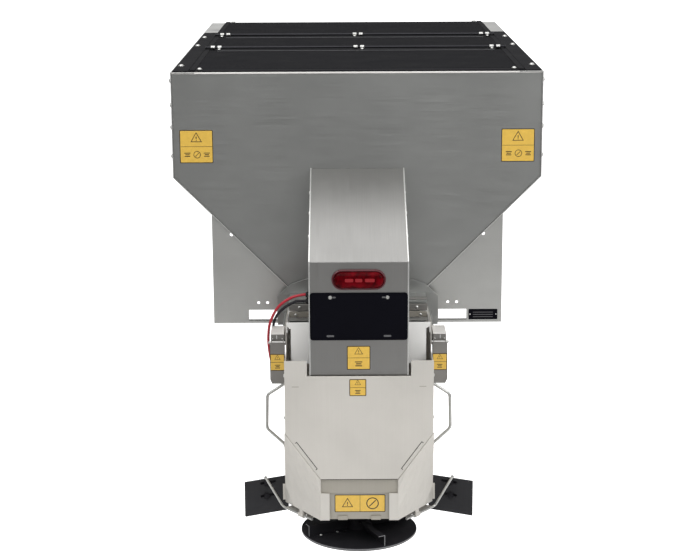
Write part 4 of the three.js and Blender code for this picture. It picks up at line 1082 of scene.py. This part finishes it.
def make_chute_seams():
    """Dark strips painted as the shadow in the open joints between the panel, the wings and the lower plate,
    painted-shade slits in the panel, and the strips that close the sides.
    """
    film, near, far, half = 0.0004, 0.0110, 0.0132, 0.0010
    joint_top, joint_foot = Vector((0.234, 0, -0.233)), Vector((0.122, 0, -0.388))
    seams = Builder()
    for _, side in SIDES:
        mirror = Vector((side, 1, 1))
        start, stop = (joint_top.lerp(joint_foot, share) * mirror + Y * PANEL_FACE for share in (0.237, 0.81))
        along = (stop - start).normalized()
        inward = along.cross(Y) * -side
        run = (stop - start).length
        seams.prism([(0, near), (run, near), (run, far), (0, far)], start, along, inward, Y * -film)
        for end in (start, stop):
            tick = [(-half, 0.006), (half, 0.006), (half, far), (-half, far)]
            seams.prism(tick, end, along, inward, Y * -film)
        # painted shade: the slits are flat marks in the darker copy of the chute steel
        slit = rounded(0.022, 0.0022, 0.0008, 2)
        seams.prism(slit, (side * 0.200, PANEL_FACE, -0.080), X, Z, Y * -0.0003, 1)
        x0, x1 = span(side, 0.163, CHUTE_HALF)
        seams.box((x0, PANEL_FACE, -0.0085), (x1, PANEL_FACE + SHEET, 0.004), 2)
        x0, x1 = span(side, 0.1572, 0.1634)
        # painted light: a strip in the brightened cheek copy, carried down over the shaded gap below the
        # cheek
        seams.box((x0, behind(0.300), -0.05), (x1, behind(0.297), 0.086), 3)
    # painted shadow: the dark line under the panel's bottom edge
    seams.box((-0.121, PANEL_FACE - film, -0.3882), (0.121, PANEL_FACE, -0.3866))
    seams.finish("chute_seams", "chute", [SEAM_SHADE, CHUTE_SHADED, CHUTE, CHEEK_LIT], smooth=False)


def make_chute_plates():
    """The plate lapped over the lower joint, the foot tabs and the corner clamps."""
    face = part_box("chute_lower_plate")[0].y
    # painted shade: the lapped plate and the foot tabs take the darker copy of the chute steel
    plates = Builder().box((-0.1255, face - 0.0055, -0.437), (0.1255, face - 0.0025, -0.386))
    for _, side in SIDES:
        tab = rounded(0.032, 0.013, 0.003)
        plates.prism(tab, (side * 0.053, face - 0.0005, -0.5215), X, Z, Y * -0.005)
        x0, x1 = span(side, 0.2345, 0.2505)
        plates.box((x0, behind(0.2645), -0.528), (x1, behind(0.262), -0.473), 1)
    plates.finish("chute_inner_plate", "chute", [CHUTE_SHADED, CHUTE], bevel=0.0006)


def make_chute_bolts():
    places = ((0.16, -0.05), (0.40, -0.06), (0.40, -0.20), (0.09, -0.30), (0.12, -0.48))
    side_bolts("chute_bolts", "chute", CHUTE_HALF, places, 0.0065, 0.009)


def make_hinge_leaves():
    """The two stacked bars of each chute hinge's fixed arm, and the lip above them."""
    near, far, bolt = 0.169, 0.175, 0.0052
    for name, side in SIDES:
        x0, x1 = span(side, 0.160, 0.226)
        leaves = Builder()
        leaves.box((x0, behind(far), 0.092), (x1, behind(near), 0.114))
        leaves.box((x0, behind(0.150), 0.122), (x1, behind(0.120), 0.126))
        # painted shade: the lower bar takes the darker copy of the chute steel
        leaves.box((x0, behind(far), 0.0705), (x1, behind(near), 0.0895), 1)
        for x, z in ((0.192, 0.104), (0.204, 0.079)):
            leaves.bolt((side * x, behind(far), z), -Y, bolt, slot=2)
        leaves.finish(f"hinge_leaves_{name}", "base", [LATCH_STEEL, CHUTE_SHADED, BOLT], bevel=0.0012)


def make_handles():
    """Bent round grab handles with flattened, bolted ends."""
    radius = 0.005
    foot = [(0, 0), (0.0085, 0), (0.0085, 0.0055), (0.0072, 0.0075), (0, 0.0075)]
    for name, side in SIDES:
        node = f"grab_handle_{name}"
        low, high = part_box(node)
        depth = REAR - middle(node).y
        x = side * (CHUTE_HALF + 0.0054)
        reach = side * (max(abs(low.x), abs(high.x)) - radius)
        route = ((x, -0.105), (x, -0.128), (reach - side * 0.003, -0.166), (reach, -0.281), (x, -0.338),
                 (x, -0.357))
        bar = Builder().rod(eased([at(a, depth, z) for a, z in route], 0.011, 8), radius, 18)
        for z in (-0.110, -0.352):
            bar.lathe(foot, at(x - side * 0.0035, depth, z), X * side, 6)
        piece = bar.finish(f"grab_handle_bar_{name}", "chute", ROD, bevel=0.0003)
        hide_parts(f"grab_handle_{name}")


def make_pivot_pins():
    """Plain pins with a head on the inner end."""
    head = [(0, 0), (0.010, 0), (0.010, 0.0035), (0.0085, 0.0045), (0, 0.0045)]
    for name, side in SIDES:
        node = f"pivot_pin_{name}"
        centre = middle(node)
        start, end = (Vector((corner.x, centre.y, centre.z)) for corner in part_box(node))
        pin = Builder().rod([start, end], 0.006, 24)
        pin.lathe(head, start if side > 0 else end, X * -side, 24)
        piece = pin.finish(f"pivot_pin_bar_{name}", "base", ROD, bevel=0.0003)
        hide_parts(node)


def make_latch_levers():
    """Flat-faced levers with two side flanges, and the pin they turn on."""
    pin_depth, pin_z, face_depth, gauge = 0.290, 0.018, 0.303, 0.0026
    for name, side in SIDES:
        node = f"latch_lever_{name}"
        low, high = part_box(node)
        x, half, foot = middle(node).x, (high.x - low.x) / 2, low.z
        face = [(-half, 0.017), (-half, foot + 0.014), (-half + 0.006, foot), (half - 0.006, foot),
                (half, foot + 0.014), (half, 0.017), (half - 0.003, 0.0215), (-half + 0.003, 0.0215)]
        lever = Builder().prism(face, (x, behind(face_depth), 0), X, Z, Y * 0.003)
        flange = [(behind(0.284), 0.021), (behind(face_depth), 0.014), (behind(face_depth), foot + 0.014),
                  (behind(0.287), foot + 0.020)]
        for edge in (-half, half - gauge):
            lever.prism(flange, (x + edge, 0, 0), Y, Z, X * gauge)
        ends = [at(x + k * (half + 0.002), pin_depth, pin_z) for k in (-1, 1)]
        lever.rod(ends, 0.004, 18, slot=1)
        lever.bolt(ends[1 if side > 0 else 0], X * side, 0.0055, slot=1)
        piece = lever.finish(f"latch_lever_plate_{name}", f"latch_{name}", [LATCH_STEEL, BOLT], bevel=0.0008)
        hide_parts(f"latch_lever_{name}")


def make_latch_fronts():
    """The slotted front with a slit in the bright hem copy as a painted highlight, the block behind it, and
    the cap of each latch bracket in a bright copy of the chute steel as a painted highlight.
    """
    face, step = 0.2868, 0.0262
    for name, side in SIDES:
        x = middle(f"latch_lever_{name}").x
        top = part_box(f"latch_bracket_{name}")[1].z
        front = Builder()
        front.box((x - 0.0195, behind(face), step), (x + 0.0195, behind(0.2861), top - 0.004))
        front.box((x - 0.0180, behind(0.2856), 0.0030), (x + 0.0180, behind(0.2840), step))
        slit = stadium(0.013, 0.003, 6)
        # painted highlight: the slit takes the bright hem copy, standing in for the light along it
        front.prism(slit, (x + side * 0.002, behind(face), 0.0345), Z, X, Y * -0.0006, 1)
        for k in (-1, 1):
            front.bolt((x + k * 0.0155, behind(face), 0.0285), -Y, 0.0022, slot=1)
        front.finish(f"latch_front_{name}", "chute", [LATCH_STEEL, HEM_HIGHLIGHT], smooth=False)
        half = 0.0215
        # painted highlight: the cap's bright colour stands in for the overhead light on its top
        cap = Builder().box((x - half, behind(0.2875), top - 0.0035), (x + half, behind(0.19), top + 0.0006))
        cap.finish(f"latch_cap_{name}", "chute", CAP_HIGHLIGHT, bevel=0.0012)


def toe_frame(side):
    """Origin and directions of a side plate: along runs outwards and through runs to the rear."""
    angle = math.radians(25)
    origin = at(side * 0.2385, 0.130, 0)
    along = Vector((side * math.cos(angle), -math.sin(angle), 0))
    through = Vector((-side * math.sin(angle), -math.cos(angle), 0))
    return origin, along, through


def make_side_plate_knobs():
    """Black clamp knobs on the studs, and a black sheet behind the slots as painted shade seen through them.
    """
    knob = [(0, 0), (0.0085, 0), (0.0105, 0.002), (0.0105, 0.008), (0.009, 0.0098), (0, 0.0102)]
    slot_shade = [(0.044, -0.006), (0.104, -0.006), (0.104, 0.006), (0.044, 0.006)]
    for name, side in SIDES:
        origin, along, through = toe_frame(side)
        parts = Builder()
        for z in (-0.504, -0.5495):
            parts.lathe(knob, origin + along * 0.081 + through * 0.0062 + Z * z, through, 24)
            # painted shade: a black sheet behind each slot, so the slot reads dark
            parts.prism(slot_shade, origin - through * 0.0004 + Z * z, along, Z, through * 0.0003)
        parts.finish(f"side_plate_knobs_{name}", "chute", DISC, angle=50)


def make_deflectors():
    """Smooth bent rods with punched flaps under the chute's corners."""
    left, right, back, notch = 0.012, 0.140, 0.055, 0.013
    outline = [(left, 0), (0.084, 0), (0.084, notch), (0.114, notch), (0.114, 0), (right, 0), (right, back),
               (left, back)]
    eyelet = [(0.0035, 0), (0.0065, 0), (0.0065, 0.001), (0.0035, 0.001), (0.0035, 0)]
    for name, side in SIDES:
        start, end = at(side * 0.250, 0.283, -0.545), at(side * 0.152, 0.400, -0.545)
        tip = at(side * 0.305, 0.327, -0.426)
        along = (end - start).normalized()
        inward = Z.cross(along) * -side
        rise = (tip - start).normalized()
        bar = Builder().rod(eased([end, start, tip], 0.014, 10), 0.004, 16)
        bar.pill(tip - rise * 0.005, rise, 0.0052, 0.005, 16)
        bar.prism(outline, start + Z * 0.001, along, inward, Z * -0.0025, 1)
        hem = start + inward * 0.054
        bar.rod([hem + along * left, hem + along * right], 0.0022, 10, 1)
        for k in range(3):
            place = start + along * (0.03 + 0.022 * k) + inward * 0.03 + Z * 0.001
            bar.lathe(eyelet, place, Z, 14, 1)
        piece = bar.finish(f"deflector_bar_{name}", f"flap_{name}", [ROD, CHUTE], bevel=0.0003)
        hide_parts(f"deflector_{name}")


# ---------------------------------------------------------------- spinner

def compass(angle):
    """Two level unit vectors: one along an angle in degrees, and one a quarter turn on from it."""
    a = math.radians(angle)
    return Vector((math.cos(a), math.sin(a), 0)), Vector((-math.sin(a), math.cos(a), 0))


def add_vane(disc, axis, angle):
    """A folded vane with a tip in lighter grey as a painted highlight, and the foot that bolts it to the
    disc.
    """
    out, across = compass(angle)
    gauge, foot_top = 0.0015, 0.0025
    start, length, tip_highlight = 0.033, 0.149, 0.0012
    section = [(gauge, -0.001), (gauge, 0.036), (-0.022, 0.036), (-0.022, 0.0335), (-gauge, 0.0335),
               (-gauge, -0.001)]
    disc.prism(section, axis + out * start, across, Z, out * length)
    disc.prism(section, axis + out * (start + length), across, Z, out * tip_highlight, slot=2)
    foot = [(gauge, -0.0005), (gauge, foot_top), (0.020, foot_top), (0.020, -0.0005)]
    disc.prism(foot, axis + out * 0.060, across, Z, out * 0.110)
    for reach in (0.085, 0.145):
        disc.bolt(axis + out * reach + across * 0.011 + Z * foot_top, Z, 0.005, slot=1)


def make_spinner():
    """Disc, hub and shaft in one turned piece, with four vanes and a rim in lighter grey as a painted
    highlight.
    """
    low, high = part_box("spinner_disc")
    axis = middle("spinner_disc")
    axis.z = low.z + 0.010
    radius = (high.x - low.x) / 2
    hub_top = 0.051
    plate = [(0, -0.010), (0.030, -0.010), (0.036, -0.007), (radius - 0.012, -0.007),
             (radius - 0.003, -0.009), (radius, -0.0065), (radius, -0.0015), (radius - 0.002, 0), (0.060, 0)]
    hub = [(0.044, 0.006), (0.036, 0.020), (0.035, 0.048), (0.032, hub_top), (0.013, hub_top)]
    shaft = [(0.0118, 0.052), (0.0118, 0.139), (0.0108, 0.140), (0, 0.140)]
    disc = Builder().lathe(plate + hub + shaft, axis, Z, 96)
    for vane in range(4):
        add_vane(disc, axis, -63.6 - 90 * vane)
    for k in range(3):
        out, _ = compass(30 + 120 * k)
        disc.hex_bolt(axis + out * 0.023 + Z * hub_top, Z, 0.0045, 0.003, slot=1)
    # painted highlight: the rim band in the lighter edge grey
    rim = [(radius - 0.001, -0.0062), (radius + 0.0004, -0.0055), (radius + 0.0004, -0.0015),
           (radius - 0.001, -0.0008), (radius - 0.001, -0.0062)]
    disc.lathe(rim, axis, Z, 96, slot=2)
    piece = disc.finish("spinner_disc_vanes", "spinner", [DISC, BOLT, DISC_EDGE_HIGHLIGHT], bevel=0.0006)
    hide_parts("spinner_disc")


# ---------------------------------------------------------------- power cables

def curve_through(points, samples=10):
    """A smooth line through every point."""
    points = [Vector(p) for p in points]
    points = [points[0] * 2 - points[1], *points, points[-1] * 2 - points[-2]]
    line = []
    for a, b, c, d in zip(points, points[1:], points[2:], points[3:]):
        for k in range(samples):
            t = k / samples
            line.append(0.5 * (b * 2 + (c - a) * t + (a * 2 - b * 5 + c * 4 - d) * t * t
                               + (b * 3 - a - c * 3 + d) * t ** 3))
    line.append(points[-2])
    return line


CABLE_RADIUS = 0.0045
CABLES = {
    "power_cable_red": [
        (-0.1674, 0.235, 0.162), (-0.177, 0.235, 0.162), (-0.216, 0.231, 0.151), (-0.258, 0.221, 0.119),
        (-0.286, 0.201, 0.064), (-0.294, 0.187, 0.014), (-0.293, 0.180, -0.030), (-0.286, 0.170, -0.080),
        (-0.272, 0.158, -0.122), (-0.254, 0.150, -0.140), (-0.2464, 0.150, -0.140),
    ],
    "power_cable_black": [
        (-0.1674, 0.235, 0.141), (-0.177, 0.235, 0.141), (-0.206, 0.231, 0.137), (-0.245, 0.222, 0.111),
        (-0.271, 0.198, 0.072), (-0.279, 0.182, 0.026), (-0.279, 0.174, -0.026), (-0.273, 0.166, -0.068),
        (-0.264, 0.156, -0.096), (-0.254, 0.150, -0.110), (-0.2464, 0.150, -0.110),
    ],
}


def make_cables():
    """Two leads between the housing and the chute, held at both ends by their glands."""
    cap = [(0.0052, -0.002), (0.0095, -0.002), (0.0105, 0.0), (0.0105, 0.007), (0.0098, 0.008),
           (0.0068, 0.0125), (0.0052, 0.0125), (0.0052, -0.002)]
    for name, material in (("power_cable_red", CABLE_RED), ("power_cable_black", CABLE_BLACK)):
        route = [at(*p) for p in CABLES[name]]
        tube = Builder().rod(curve_through(route), CABLE_RADIUS, 16)
        tube = tube.finish(f"{name}_lead", "base", material, ride=False, angle=60)
        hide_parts(name)
        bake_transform(tube)
        for end, body, place in (("exit", "base", route[0]), ("chute", "chute", route[-1])):
            gland = Builder().lathe(cap, place + X * 0.010, -X, 20)
            gland.finish(f"{name}_{end}_gland", body, RUBBER, angle=25)


# ---------------------------------------------------------------- everything in order

make_camera()
make_view()
make_world()
make_stage()
make_lights()
dress_nodes()
make_hopper_edges()
make_hopper_bolts()
make_side_ribs()
make_weld_beads()
make_rating_plate()
make_lids()
make_hinge_strips()
make_hinge_rods()
make_strip_bolts()
make_screens()
make_auger_flight()
make_auger_shaft()
make_motor("auger_motor", "base", 0.034, (45, 135, 225, 315))
make_motor("spinner_motor", "chute", 0.03, (90, -90), bore=(0.0128, 0.06))
make_gearbox()
make_bearing_bolts()
make_housing_hems()
make_housing_bolts()
make_tail_lamp()
make_number_plate()
make_stickers()
make_chute_seams()
make_chute_plates()
make_chute_bolts()
make_handles()
make_pivot_pins()
make_latch_levers()
make_latch_fronts()
make_hinge_leaves()
make_side_plate_knobs()
make_deflectors()
make_spinner()
make_cables()
